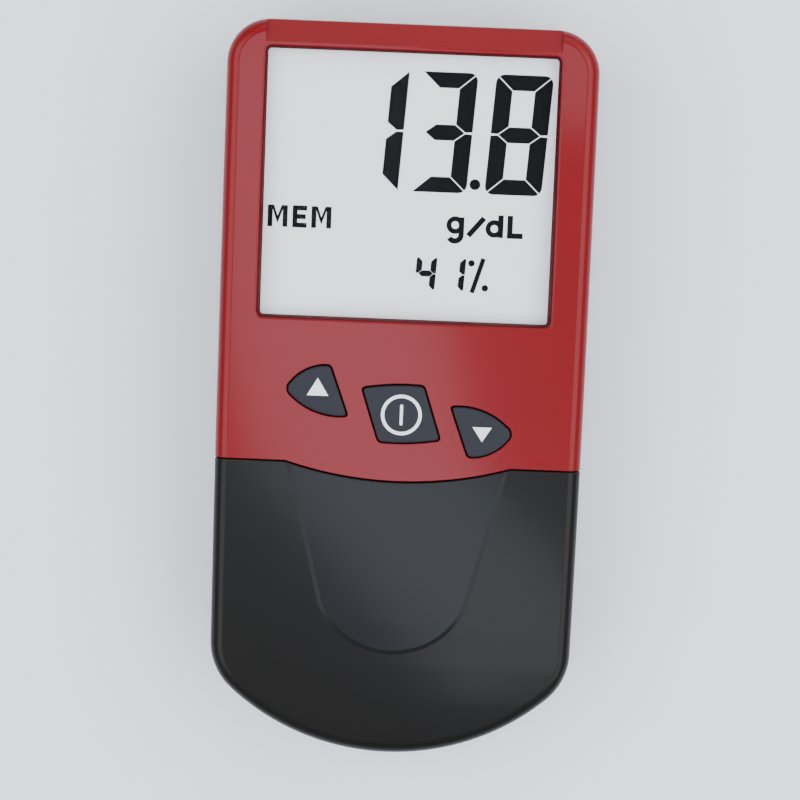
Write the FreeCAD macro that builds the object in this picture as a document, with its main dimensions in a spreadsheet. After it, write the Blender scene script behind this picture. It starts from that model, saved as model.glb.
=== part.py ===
import FreeCAD, Part
import math
import os
import Sketcher
from types import SimpleNamespace

# Handheld hemoglobin meter: a moulded clamshell with a display, three keys, a sliding strip tray,
# a battery door and a plug-in lot chip.
# Frame: +X across the width, +Y towards the display end, +Z out of the display.
# The origin is under the middle of the body, in the plane of the feet. Millimetres.

V = FreeCAD.Vector
doc = FreeCAD.newDocument("hemoglobin_meter")

# Driving dimensions

SIZES = {
    # overall form
    "body_width": 65.0,
    "body_length": 131.0,
    "body_height": 25.0,
    "foot_stand": 0.6,
    "parting_height": 11.5,
    "parting_gap": 0.3,
    "wall": 2.0,
    "top_corner_radius": 7.7,
    "end_arc_radius": 42.2,
    "shoulder_radius": 12.0,
    "crown_peak_drop": 4.15,
    "crown_low_radius": 570.0,
    "crown_top_radius": 1540.0,
    "front_edge_radius": 2.4,
    "back_edge_radius": 4.0,
    "lip_height": 1.2,
    "lip_thickness": 0.9,
    "lip_clearance": 0.1,
    # seam between the two front shells
    "seam_drop": 25.65,
    "seam_half_chord": 19.9,
    "seam_dip": 3.0,
    "seam_gap": 0.2,
    "tongue_reach": 2.4,
    "tongue_root_reach": 0.5,
    "tongue_thickness": 1.0,
    "tongue_clearance": 0.12,
    "shield_rise": 0.3,
    "shield_waist_half": 13.6,
    "shield_waist_drop": 25.5,
    "shield_end_drop": 35.0,
    # display window and the band above it
    "window_top_margin": 5.1,
    "window_width": 50.6,
    "window_length": 46.25,
    "window_flare": 0.4,
    "window_corner_radius": 0.6,
    "band_slope": 0.34,
    "lens_depth": 2.2,
    "lens_thickness": 1.2,
    "lens_overlap": 1.7,
    "lens_clearance": 0.15,
    "frame_rib": 1.0,
    "frame_rib_height": 1.4,
    # display cell
    "gasket_thickness": 0.3,
    "gasket_width": 1.1,
    "glass_margin": 1.2,
    "front_ply": 1.1,
    "back_ply": 0.9,
    "contact_ledge": 3.0,
    "reflector_thickness": 0.2,
    "holder_rim": 0.6,
    "holder_floor": 0.8,
    "holder_clearance": 0.2,
    "connector_width": 2.0,
    "connector_inset": 1.0,
    "well_margin": 2.0,
    # keys
    "key_drop": 16.15,
    "key_shift": -0.1,
    "key_proud": 0.4,
    "key_clearance": 0.25,
    "key_travel": 0.6,
    "key_edge_bevel": 0.3,
    "key_flange": 0.9,
    "key_flange_thickness": 1.0,
    "key_flange_gap": 0.5,
    "key_height": 5.4,
    "leaf_inner_x": 8.8,
    "leaf_inner_y": 1.35,
    "leaf_outer_x": 12.25,
    "leaf_outer_y": 7.87,
    "leaf_tip_x": 19.2,
    "leaf_tip_high": 5.2,
    "leaf_tip_low": 1.0,
    "leaf_tip_inset": 0.5,
    "leaf_top_radius": 8.0,
    "leaf_tip_radius": 3.8,
    "leaf_low_radius": 14.6,
    "power_width": 11.3,
    "power_length": 10.14,
    "power_rise": 0.75,
    "power_run": 3.3,
    "power_shift_x": 0.35,
    "power_shift_y": -0.72,
    "power_arc_radius": 40.0,
    "mat_thickness": 1.0,
    "mat_half_width": 21.5,
    "mat_half_length": 9.7,
    "web_thickness": 0.45,
    "web_half": 3.4,
    "pill_half": 1.3,
    # main board
    "board_height": 15.0,
    "board_thickness": 1.6,
    "board_side_margin": 4.5,
    "board_top_margin": 4.0,
    "board_low_margin": 26.0,
    # battery bay
    "cell_diameter": 10.5,
    "cell_length": 44.5,
    "cell_nub_radius": 1.9,
    "cell_nub_length": 1.0,
    "cell_gap": 0.3,
    "cell_seat_gap": 0.2,
    "plus_space": 0.35,
    "minus_space": 2.65,
    "contact_thickness": 0.3,
    "contact_half_width": 4.0,
    "contact_tab_half": 1.2,
    "contact_margin": 1.0,
    "tub_wall": 1.2,
    "tub_roof": 1.0,
    "tub_top_margin": 5.6,
    "door_thickness": 2.0,
    "door_clearance": 0.15,
    "door_tongue": 1.25,
    "door_tongue_height": 1.1,
    "door_lip": 0.8,
    "door_cap_height": 7.0,
    "door_cap_depth": 2.2,
    "rail_width": 3.2,
    "rail_height": 4.2,
    "thumb_groove_width": 0.8,
    "thumb_groove_depth": 0.35,
    "thumb_groove_pitch": 1.8,
    "thumb_groove_half": 6.5,
    # strip tray
    "tray_width": 19.0,
    "tray_low": 5.0,
    "tray_thickness": 3.0,
    "tray_length": 56.5,
    "tray_tongue": 1.25,
    "tray_tongue_low": 6.2,
    "tray_tongue_height": 1.0,
    "tray_clearance": 0.15,
    "tray_panel_half": 12.0,
    "tray_panel_low": 4.8,
    "tray_panel_high": 10.2,
    "tray_panel_depth": 4.9,
    "tray_stop": 0.8,
    "tray_stop_length": 1.5,
    "tray_travel": 38.0,
    "guide_width": 3.2,
    "guide_gap": 0.6,
    "guide_tail": 1.0,
    "strip_width": 5.4,
    "strip_depth": 1.0,
    "strip_stop": 37.5,
    "mouth_width": 6.4,
    "mouth_depth": 3.9,
    "grip_groove_height": 0.6,
    "grip_groove_depth": 0.35,
    "grip_groove_pitch": 1.3,
    "finger_radius": 14.0,
    "finger_depth": 1.2,
    "reference_length": 6.5,
    "reference_width": 6.4,
    "reference_start": 42.5,
    # optics
    "optics_start": 25.5,
    "optics_length": 21.0,
    "optics_height": 3.8,
    "optics_half_width": 16.8,
    "optics_board_thickness": 1.0,
    "optics_board_tail": 15.0,
    "optics_screw_x": 14.6,
    "optics_screw_inset": 3.0,
    "optics_boss_half": 2.1,
    "read_point": 34.5,
    "window_plate_half": 4.0,
    "window_plate_thickness": 0.8,
    "bore_half": 1.3,
    "led_offset": 6.3,
    "led_size": 3.0,
    "led_height": 1.0,
    "pocket_clearance": 0.2,
    "header_half": 6.35,
    "header_depth": 2.5,
    "header_pin_half": 0.3,
    # tray switch
    "switch_gap": 0.6,
    "switch_depth": 4.0,
    "switch_half": 4.0,
    "switch_low": 5.8,
    "plunger_radius": 0.8,
    "plunger_height": 7.0,
    "plunger_reach": 1.2,
    # side port, lot chip and its socket
    "port_rise": 28.05,
    "port_width": 7.6,
    "port_height": 2.8,
    "port_length": 5.5,
    "port_wall": 0.35,
    "port_tongue_width": 4.8,
    "port_tongue_thickness": 0.7,
    "port_setback": 0.6,
    "port_clearance": 0.3,
    "port_low": 13.5,
    "chip_rise": 22.85,
    "chip_width": 15.5,
    "chip_thickness": 2.4,
    "socket_gap": 0.7,
    "chip_low": 13.15,
    "chip_nib": 0.3,
    "chip_nib_width": 3.0,
    "chip_clearance": 0.15,
    "socket_wall": 0.8,
    # screws and posts
    "case_screw_high_margin": 5.3,
    "case_screw_high_drop": 10.15,
    "case_screw_low_margin": 6.5,
    "case_screw_low_rise": 23.0,
    "case_boss_radius": 2.6,
    "rear_boss_radius": 3.2,
    "case_pilot_radius": 1.05,
    "case_shank_radius": 1.0,
    "case_shank_length": 13.0,
    "case_head_radius": 2.1,
    "case_head_height": 1.5,
    "case_head_recess": 1.4,
    "case_recess_radius": 2.5,
    "notch_half": 3.3,
    "post_half": 2.0,
    "post_side_margin": 5.5,
    "post_low_margin": 5.0,
    "post_high_margin": 4.5,
    "locating_pin_half": 0.9,
    "small_pilot_radius": 0.8,
    "small_shank_radius": 0.75,
    "small_shank_length": 6.0,
    "small_head_radius": 1.7,
    "small_head_height": 0.9,
    "hole_clearance": 0.15,
    # feet
    "foot_radius": 4.0,
    "foot_high_margin": 8.5,
    "foot_low_margin": 16.5,
    "foot_end_margin": 13.5,
    # sounder and its slots
    "buzzer_radius": 4.2,
    "buzzer_height": 3.4,
    "buzzer_side_margin": 8.0,
    "buzzer_rise": 14.5,
    "slot_half": 3.0,
    "slot_width": 1.0,
    "slot_pitch": 2.2,
}

# Packages on the top of the board: middle across, distance below the middle of the free stretch
# between the header and the keypad, half sides and height
PACKAGES = {
    "processor": (0.0, 0.0, 4.5, 4.5, 1.4),
    "driver": (13.5, 1.6, 2.5, 2.0, 1.5),
    "memory": (-13.5, 2.5, 3.2, 2.2, 1.6),
    "amplifier": (-12.5, -2.6, 2.2, 1.6, 1.0),
    "regulator": (9.0, 6.5, 1.6, 1.6, 1.2),
    "timing": (12.5, -2.8, 5.5, 2.2, 3.4),
}
for word, numbers in PACKAGES.items():
    for kind, number in zip(("x", "drop", "half_x", "half_y", "tall"), numbers):
        SIZES[f"{word}_{kind}"] = number

sheet = doc.addObject("Spreadsheet::Sheet", "Sizes")
for row, (alias, value) in enumerate(SIZES.items(), start=1):
    sheet.set(f"A{row}", alias)
    sheet.set(f"B{row}", str(value))
    sheet.setAlias(f"B{row}", alias)
doc.recompute()


class Size:
    """A length: its number now, and the sheet expression that keeps it right later."""

    def __init__(self, value, text):
        self.value = value
        self.text = text

    def __add__(self, other):
        other = as_size(other)
        return Size(self.value + other.value, f"({self.text} + {other.text})")

    def __sub__(self, other):
        other = as_size(other)
        return Size(self.value - other.value, f"({self.text} - {other.text})")

    def __mul__(self, other):
        other = as_size(other)
        return Size(self.value * other.value, f"({self.text} * {other.text})")

    def __truediv__(self, other):
        other = as_size(other)
        return Size(self.value / other.value, f"({self.text} / {other.text})")

    def __radd__(self, other):
        return as_size(other) + self

    def __rsub__(self, other):
        return as_size(other) - self

    def __rmul__(self, other):
        return as_size(other) * self

    def __neg__(self):
        return Size(-self.value, f"(0 - {self.text})")


def as_size(number):
    """A plain number as a Size; a Size stays as it is."""
    if isinstance(number, Size):
        return number
    return Size(float(number), f"({number})")


def root(size):
    """The square root of a Size."""
    return Size(math.sqrt(size.value), f"sqrt({size.text})")


def slope_angle(rise, run):
    """The angle of a slope of rise over run, in degrees."""
    angle = math.degrees(math.atan2(rise.value, run.value))
    return Size(angle, f"atan({rise.text} / {run.text})")


size = SimpleNamespace(**{alias: Size(float(sheet.get(alias)), f"Sizes.{alias}") for alias in SIZES})
ZERO = as_size(0)
# How far a cutting solid runs past the face that it opens
PAST = as_size(1)
# Shares of a radius: a bevel and two smaller ones on its rims touch the arc that they stand for
BEVEL_SHARE = 2 - math.sqrt(2)
STEP_SHARE = 2 * math.sqrt(2) - math.sqrt(4 + 2 * math.sqrt(2))


# Ways of making solids

def set_size(item, prop, value):
    """Bind a property of a feature to the sheet."""
    item.setExpression(prop, as_size(value).text)


def named(kind, name):
    """A new document object with its label."""
    item = doc.addObject(kind, name)
    item.Label = name
    return item


def span(low, high):
    """The two ends of a solid along one axis."""
    return as_size(low), as_size(high)


def around(middle, half):
    """The two ends of a solid that is centred on a place."""
    return as_size(middle) - half, as_size(middle) + half


def block(name, x, y, z):
    """A box between three pairs of ends."""
    item = named("Part::Box", name)
    for prop, axis, (low, high) in (("Length", "x", x), ("Width", "y", y), ("Height", "z", z)):
        set_size(item, prop, high - low)
        set_size(item, f"Placement.Base.{axis}", low)
    return item


def rod(name, x, y, z, radius):
    """An upright cylinder between two heights."""
    item = named("Part::Cylinder", name)
    set_size(item, "Radius", radius)
    set_size(item, "Height", z[1] - z[0])
    set_size(item, "Placement.Base.x", x)
    set_size(item, "Placement.Base.y", y)
    set_size(item, "Placement.Base.z", z[0])
    return item


def hexagon(name, x, y, z, radius):
    """An upright six-sided bar between two heights."""
    item = named("Part::Prism", name)
    item.Polygon = 6
    set_size(item, "Circumradius", radius)
    set_size(item, "Height", z[1] - z[0])
    set_size(item, "Placement.Base.x", x)
    set_size(item, "Placement.Base.y", y)
    set_size(item, "Placement.Base.z", z[0])
    return item


def fuse(name, *parts):
    """The sum of several solids."""
    item = named("Part::MultiFuse", name)
    item.Shapes = list(parts)
    item.Refine = True
    return item


def cut(name, base, *tools):
    """A solid with others taken out of it."""
    item = named("Part::Cut", name)
    item.Base = base
    item.Tool = tools[0] if len(tools) == 1 else fuse(f"{name}_tools", *tools)
    item.Refine = True
    return item


def common(name, first, second):
    """What two solids share."""
    item = named("Part::Common", name)
    item.Base = first
    item.Tool = second
    return item


def group(name, parts):
    """Separate solids under one name."""
    item = named("Part::Compound", name)
    item.Links = list(parts)
    return item


def new_body(name):
    item = doc.addObject("PartDesign::Body", name)
    item.Label = name
    return item


def sketch_on(body, role, name, offset):
    """An empty sketch on one of a body's own origin planes, moved along its normal."""
    plane = [item for item in body.Origin.OriginFeatures if item.Role == role][0]
    sketch = body.newObject("Sketcher::SketchObject", name)
    sketch.AttachmentSupport = [(plane, "")]
    sketch.MapMode = "FlatFace"
    set_size(sketch, "AttachmentOffset.Base.z", offset)
    return sketch


def arc_between(start, end, radius, turn):
    """The short arc from start to end; turn 1 bulges to the right of the way it goes, -1 to the left."""
    along = V(end.x - start.x, end.y - start.y, 0)
    reach = math.sqrt(max(radius ** 2 - (along.Length / 2) ** 2, 0))
    to_left = V(-along.y, along.x, 0).normalize()
    centre = (start + end) / 2 + to_left * reach * turn
    first, last = (start, end) if turn > 0 else (end, start)
    begin = math.atan2(first.y - centre.y, first.x - centre.x)
    finish = math.atan2(last.y - centre.y, last.x - centre.x)
    if finish < begin:
        finish += 2 * math.pi
    return Part.ArcOfCircle(Part.Circle(centre, V(0, 0, 1), radius), begin, finish)


def draw(sketch, corners, arcs=None):
    """A closed outline through corners; arcs gives the radius and turn of the edges that are round."""
    arcs = arcs or {}
    points = [V(x.value, y.value, 0) for x, y in corners]
    count = len(points)
    starts, ends = [], []
    for index in range(count):
        start, end = points[index], points[(index + 1) % count]
        if index in arcs:
            radius, turn = arcs[index]
            edge = sketch.addGeometry(arc_between(start, end, radius.value, turn), False)
            starts.append((edge, 1 if turn > 0 else 2))
            ends.append((edge, 2 if turn > 0 else 1))
        else:
            edge = sketch.addGeometry(Part.LineSegment(start, end), False)
            starts.append((edge, 1))
            ends.append((edge, 2))
    for index in range(count):
        sketch.addConstraint(Sketcher.Constraint("Coincident", *ends[index - 1], *starts[index]))
    for index, (x, y) in enumerate(corners):
        for kind, place in (("DistanceX", x), ("DistanceY", y)):
            number = sketch.addConstraint(
                Sketcher.Constraint(kind, -1, 1, *starts[index], place.value))
            set_size(sketch, f"Constraints[{number}]", place)
    for index, (radius, turn) in arcs.items():
        number = sketch.addConstraint(
            Sketcher.Constraint("Radius", starts[index][0], radius.value))
        set_size(sketch, f"Constraints[{number}]", radius)


def padded(body, sketch, length):
    """A pad of a sketch along its normal."""
    pad = body.newObject("PartDesign::Pad", f"{sketch.Name}_pad")
    pad.Profile = sketch
    set_size(pad, "Length", length)
    sketch.Visibility = False
    return pad


def prism(name, corners, arcs, z):
    """A body padded up from an outline seen from the front."""
    body = new_body(name)
    sketch = sketch_on(body, "XY_Plane", f"{name}_outline", z[0])
    draw(sketch, corners, arcs)
    padded(body, sketch, z[1] - z[0])
    return body


def across(name, corners, arcs, x):
    """A body padded across the width from an outline seen from the side."""
    body = new_body(name)
    sketch = sketch_on(body, "YZ_Plane", f"{name}_side", x[0])
    draw(sketch, corners, arcs)
    padded(body, sketch, x[1] - x[0])
    return body


def along(name, corners, arcs, y):
    """A body padded along the length from an outline seen from the lower end."""
    body = new_body(name)
    sketch = sketch_on(body, "XZ_Plane", f"{name}_end", -y[1])
    draw(sketch, corners, arcs)
    padded(body, sketch, y[1] - y[0])
    return body


def chamfered(body, name, wanted, length):
    """Bevel the edges of a body that pass a test."""
    doc.recompute()
    tip = body.Tip
    names = [f"Edge{number}" for number, edge in enumerate(tip.Shape.Edges, start=1) if wanted(edge)]
    feature = body.newObject("PartDesign::Chamfer", name)
    feature.Base = (tip, names)
    set_size(feature, "Size", length)
    return feature


def slanted(face):
    """True for a face that leans about half way between level and upright."""
    u_low, u_high, v_low, v_high = face.ParameterRange
    normal = face.normalAt((u_low + u_high) / 2, (v_low + v_high) / 2)
    return math.cos(math.radians(60)) < abs(normal.z) < math.cos(math.radians(30))


def rounded(body, wanted, radius):
    """Round over the edges that pass a test in three facets that touch an arc of this radius."""
    chamfered(body, f"{body.Name}_bevel", wanted, radius * BEVEL_SHARE)
    doc.recompute()
    rims = [edge for face in body.Tip.Shape.Faces if slanted(face) for edge in face.Edges]
    chamfered(body, f"{body.Name}_steps", lambda edge: sum(edge.isSame(rim) for rim in rims) == 1,
              radius * STEP_SHARE)


def soft_rectangle(x, y, radius):
    """A rectangle with round corners."""
    corners = [
        (x[0] + radius, y[0]), (x[1] - radius, y[0]),
        (x[1], y[0] + radius), (x[1], y[1] - radius),
        (x[1] - radius, y[1]), (x[0] + radius, y[1]),
        (x[0], y[1] - radius), (x[0], y[0] + radius),
    ]
    return corners, {index: (radius, 1) for index in (1, 3, 5, 7)}


# Places that the pieces share

cell_radius = size.cell_diameter / 2
cell_pitch = size.cell_diameter + size.cell_gap
tub_half = cell_pitch + cell_radius + size.cell_gap

side = size.body_width / 2
top_end = size.body_length / 2
low_end = -size.body_length / 2
back_face = size.foot_stand
floor_top = back_face + size.wall

window_top = top_end - size.window_top_margin
window_low = window_top - size.window_length
window_side = size.window_width / 2
seam_y = window_low - size.seam_drop
key_y = window_low - size.key_drop

lens_top = size.body_height - size.lens_depth
lens_low = lens_top - size.lens_thickness
glass_top = lens_low - size.gasket_thickness
glass_step = glass_top - size.front_ply
glass_low = glass_step - size.back_ply
holder_top = glass_low - size.reflector_thickness
board_low = size.board_height
board_top = board_low + size.board_thickness
board_end = top_end - size.board_top_margin
board_start = low_end + size.board_low_margin
board_half = side - size.board_side_margin
crown_peak_y = window_low - size.crown_peak_drop

FAR = size.body_width
FAR_Y = size.body_length


# The outline of the body, the same for every shell

def outline(inset):
    """The front outline moved inwards: straight sides, round corners, and one big arc at the lower end."""
    inset = as_size(inset)
    corner_x = side - size.top_corner_radius
    corner_y = top_end - size.top_corner_radius
    arc_y = low_end + size.end_arc_radius
    shoulder_x = side - size.shoulder_radius
    inner_radius = size.end_arc_radius - size.shoulder_radius
    shoulder_rise = root(inner_radius * inner_radius - shoulder_x * shoulder_x)
    shoulder_y = arc_y - shoulder_rise
    grow = (size.end_arc_radius - inset) / inner_radius
    meet_x = shoulder_x * grow
    meet_y = arc_y - shoulder_rise * grow
    corners = [
        (side - inset, shoulder_y),
        (side - inset, corner_y),
        (corner_x, top_end - inset),
        (-corner_x, top_end - inset),
        (inset - side, corner_y),
        (inset - side, shoulder_y),
        (-meet_x, meet_y),
        (meet_x, meet_y),
    ]
    arcs = {
        1: (size.top_corner_radius - inset, 1),
        3: (size.top_corner_radius - inset, 1),
        5: (size.shoulder_radius - inset, 1),
        6: (size.end_arc_radius - inset, 1),
        7: (size.shoulder_radius - inset, 1),
    }
    return corners, arcs


def outline_prism(name, inset, z):
    """A straight block with the outline of the body."""
    corners, arcs = outline(inset)
    return prism(name, corners, arcs, z)


def crown_height(y, depth, radius):
    """Height of the crowned front on the middle line, at y, for a surface sunk by depth."""
    run = y - crown_peak_y
    reach = radius - depth
    return size.body_height - radius + root(reach * reach - run * run)


def cut_crown(body, name, depth):
    """Cut away all that stands above the crowned front, sunk by depth."""
    depth = as_size(depth)
    sketch = sketch_on(body, "YZ_Plane", name, ZERO)
    sky = size.body_height + 4 * size.wall
    corners = [
        (-FAR_Y, crown_height(-FAR_Y, depth, size.crown_low_radius)),
        (crown_peak_y, size.body_height - depth),
        (FAR_Y, crown_height(FAR_Y, depth, size.crown_top_radius)),
        (FAR_Y, sky),
        (-FAR_Y, sky),
    ]
    arcs = {
        0: (size.crown_low_radius - depth, -1),
        1: (size.crown_top_radius - depth, -1),
    }
    draw(sketch, corners, arcs)
    pocket = body.newObject("PartDesign::Pocket", f"{name}_cut")
    pocket.Profile = sketch
    pocket.Type = "ThroughAll"
    pocket.SideType = "Symmetric"
    sketch.Visibility = False
    return pocket


def crowned_prism(name, inset, depth, low):
    """A block with the outline of the body and the crowned front on top."""
    body = outline_prism(name, inset, span(low, size.body_height + size.wall / 2))
    cut_crown(body, f"{name}_crown", depth)
    return body


def crown_rim(edge):
    """True for the edges between the crowned face and the side walls."""
    middle = edge.BoundBox.Center
    lowest = edge.BoundBox.ZMin
    walls = abs(middle.x) > side.value - size.top_corner_radius.value
    ends = not -side.value < middle.y < top_end.value - size.wall.value
    return lowest > size.parting_height.value + size.wall.value and (walls or ends)


# The two front shells

front_low = size.parting_height + size.parting_gap / 2
front_blank = crowned_prism("front_blank", 0, 0, front_low)
rounded(front_blank, crown_rim, size.front_edge_radius)
front_core = crowned_prism("front_core", size.wall, size.wall, front_low - PAST)
rebate_inset = size.wall - size.lip_thickness - size.lip_clearance
front_rebate = outline_prism(
    "front_rebate", rebate_inset,
    span(front_low - PAST, size.parting_height + size.lip_height + size.lip_clearance))
front_shell = cut("front_shell", front_blank, front_core, front_rebate)


def seam_region(name, upper, shift, z):
    """All that lies above, or below, the curved seam moved along Y by shift."""
    line = seam_y + shift
    chord = size.seam_half_chord
    radius = (chord * chord + size.seam_dip * size.seam_dip) / (2 * size.seam_dip)
    if upper:
        corners = [(-FAR, line), (-chord, line), (chord, line), (FAR, line), (FAR, FAR_Y), (-FAR, FAR_Y)]
        return prism(name, corners, {1: (radius, 1)}, z)
    corners = [(-FAR, -FAR_Y), (FAR, -FAR_Y), (FAR, line), (chord, line), (-chord, line), (-FAR, line)]
    return prism(name, corners, {3: (radius, -1)}, z)


shell_span = span(front_low - PAST, size.body_height + size.wall)
red_region = seam_region("red_region", True, ZERO, shell_span)
black_region = seam_region("black_region", False, -size.seam_gap, shell_span)
red_skin = common("red_skin", front_shell, red_region)
black_skin = common("black_skin", front_shell, black_region)

# A tongue on the red shell reaches under the edge of the black one
tongue_core = crowned_prism(
    "tongue_core", size.wall + size.tongue_thickness, size.wall + size.tongue_thickness, front_low - PAST)
tongue_skin = crowned_prism(
    "tongue_skin", size.wall + size.tongue_clearance, size.wall + size.tongue_clearance,
    size.parting_height + size.lip_height + size.wall)
tongue_root = crowned_prism(
    "tongue_root", size.wall, size.wall, size.parting_height + size.lip_height + size.wall)
tongue_low = seam_region("tongue_low", True, -size.tongue_reach, shell_span)
tongue_high = seam_region("tongue_high", False, size.tongue_root_reach, shell_span)
tongue_band = common("tongue_band", tongue_low, tongue_high)
root_band = common("root_band", red_region, tongue_high)
tongue_reach_part = cut("tongue_reach_part", common("tongue_outer", tongue_skin, tongue_band), tongue_core)
tongue_root_part = cut("tongue_root_part", common("tongue_inner", tongue_root, root_band), tongue_core)


# Window, lens frame and the sloped band above the window

def flared_window(name):
    """The window opening: it widens from the lens to the front face."""
    flare = size.window_flare / size.lens_depth
    low = lens_top - size.wall
    shrink = flare * size.wall
    body = new_body(name)
    sketch = sketch_on(body, "XY_Plane", f"{name}_outline", low)
    corners, arcs = soft_rectangle(
        around(0, window_side - shrink), span(window_low + shrink, window_top - shrink),
        size.window_corner_radius)
    draw(sketch, corners, arcs)
    pad = padded(body, sketch, size.body_height + size.wall - low)
    set_size(pad, "TaperAngle", slope_angle(size.window_flare, size.lens_depth))
    return body


window_cut = flared_window("window_cut")
lens_side = window_side + size.lens_overlap
lens_y = span(window_low - size.lens_overlap, window_top + size.lens_overlap)
rib_out = size.lens_clearance + size.frame_rib
frame_pad = common(
    "frame_pad", front_blank,
    block("frame_pad_box", around(0, lens_side + rib_out),
          span(lens_y[0] - rib_out, top_end - size.wall / 2),
          span(lens_top, size.body_height + size.wall)))
rib_y = span(lens_y[0] - rib_out, top_end - size.wall / 2)
rib_z = span(lens_top - size.frame_rib_height, lens_top)
rib_block = block("rib_block", around(0, lens_side + rib_out), rib_y, rib_z)
rib_room = block(
    "rib_room", around(0, lens_side + size.lens_clearance),
    span(lens_y[0] - size.lens_clearance, lens_y[1] + size.lens_clearance), rib_z)
rib_ring = cut("rib_ring", rib_block, rib_room)


# The band starts at the window, as wide as the window is at the face, and slopes down to the upper end
band_start = crown_height(window_top, ZERO, size.crown_top_radius)
band_end = top_end + size.wall
band = across("band", [
    (window_top, band_start),
    (band_end, band_start - size.band_slope * (band_end - window_top)),
    (band_end, size.body_height + size.wall),
    (window_top, size.body_height + size.wall),
], None, around(0, window_side + size.window_flare))


# Keys: two half leaves, turned half a turn from each other, and a slanted middle key

def leaf_outline(sign):
    """The outline of a half-leaf key: sign 1 is the upper key on the left, -1 the lower one on the right."""
    def place(x, y):
        return size.key_shift - sign * x, key_y + sign * y
    corners = [
        place(size.leaf_inner_x, -size.leaf_inner_y),
        place(size.leaf_outer_x, size.leaf_outer_y),
        place(size.leaf_tip_x, size.leaf_tip_high),
        place(size.leaf_tip_x - size.leaf_tip_inset, size.leaf_tip_low),
    ]
    arcs = {1: (size.leaf_top_radius, 1), 2: (size.leaf_tip_radius, 1), 3: (size.leaf_low_radius, 1)}
    return corners, arcs


def power_outline():
    """The slanted four-sided middle key, its upper and lower edges slightly bowed."""
    half = size.power_width / 2
    rise = size.power_rise / 2
    run = size.power_run / 2
    tall = size.power_length / 2
    x = size.key_shift + size.power_shift_x
    y = key_y + size.power_shift_y
    corners = [
        (x - half + run, y - rise - tall),
        (x + half + run, y + rise - tall),
        (x + half - run, y + rise + tall),
        (x - half - run, y - rise + tall),
    ]
    return corners, {0: (size.power_arc_radius, 1), 2: (size.power_arc_radius, 1)}


KEYS = {
    "key_up": leaf_outline(1),
    "key_power": power_outline(),
    "key_down": leaf_outline(-1),
}


def middle_of(corners):
    """The mean of the corners of an outline."""
    count = len(corners)
    x = corners[0][0]
    y = corners[0][1]
    for corner in corners[1:]:
        x = x + corner[0]
        y = y + corner[1]
    return x / count, y / count


def grown(name, sketch, growth, z):
    """A straight block on an outline offset outwards by growth."""
    wide = named("Part::Offset2D", f"{name}_offset")
    wide.Source = sketch
    set_size(wide, "Value", growth)
    wide.Join = "Intersection"
    wide.Fill = False
    solid = named("Part::Extrusion", name)
    solid.Base = wide
    solid.DirMode = "Custom"
    solid.Dir = V(0, 0, 1)
    solid.Solid = True
    set_size(solid, "LengthFwd", z[1] - z[0])
    set_size(solid, "Placement.Base.z", z[0])
    return solid


key_top_cut = size.body_height + size.key_proud
key_low = key_top_cut - size.key_height - size.key_travel
flange_high = size.body_height - size.wall - size.key_flange_gap - size.key_flange
flange_z = span(flange_high - size.key_flange_thickness, flange_high)
key_solids = {}
key_holes = []
for key_name, (corners, arcs) in KEYS.items():
    stem = new_body(f"{key_name}_stem")
    sketch = sketch_on(stem, "XY_Plane", f"{key_name}_outline", key_low)
    draw(sketch, corners, arcs)
    padded(stem, sketch, size.body_height + 2 * size.wall - key_low)
    cut_crown(stem, f"{key_name}_top", -size.key_proud)
    chamfered(stem, f"{key_name}_bevel", lambda edge: edge.BoundBox.ZMin > lens_top.value,
              size.key_edge_bevel)
    flat = named("Sketcher::SketchObject", f"{key_name}_flat")
    draw(flat, corners, arcs)
    hole_z = span(lens_top - size.wall, size.body_height + size.wall)
    key_holes.append(grown(f"{key_name}_hole", flat, size.key_clearance, hole_z))
    flange = grown(f"{key_name}_flange", flat, size.key_flange, flange_z)
    x, y = middle_of(corners)
    pill = block(f"{key_name}_pill", around(x, size.pill_half), around(y, size.pill_half),
                 span(key_low - size.key_travel / 2, key_low))
    key_solids[key_name] = fuse(key_name, stem, flange, pill)

# Screw bosses hang from the front shells and stand on the back one

CASE_SCREWS = [
    (sign * (side - margin), y)
    for margin, y in (
        (size.case_screw_high_margin, window_low - size.case_screw_high_drop),
        (size.case_screw_low_margin, low_end + size.case_screw_low_rise),
    )
    for sign in (1, -1)
]
boss_meet = size.parting_height + size.parting_gap / 2


def front_bosses(name, places):
    """Bosses from the parting plane up into the front skin, with their pilot holes."""
    solids = []
    pilots = []
    for number, (x, y) in enumerate(places):
        z = span(boss_meet, size.body_height + size.wall)
        solids.append(rod(f"{name}_{number}", x, y, z, size.case_boss_radius))
        depth = span(boss_meet - PAST, boss_meet + size.case_shank_length / 2)
        pilots.append(hexagon(f"{name}_pilot_{number}", x, y, depth, size.case_pilot_radius))
    trimmed = common(f"{name}_trimmed", fuse(f"{name}_all", *solids), front_core)
    return trimmed, pilots


high_bosses, high_pilots = front_bosses("high_boss", CASE_SCREWS[:2])
low_bosses, low_pilots = front_bosses("low_boss", CASE_SCREWS[2:])


# Side openings for the lot chip and the port

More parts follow.
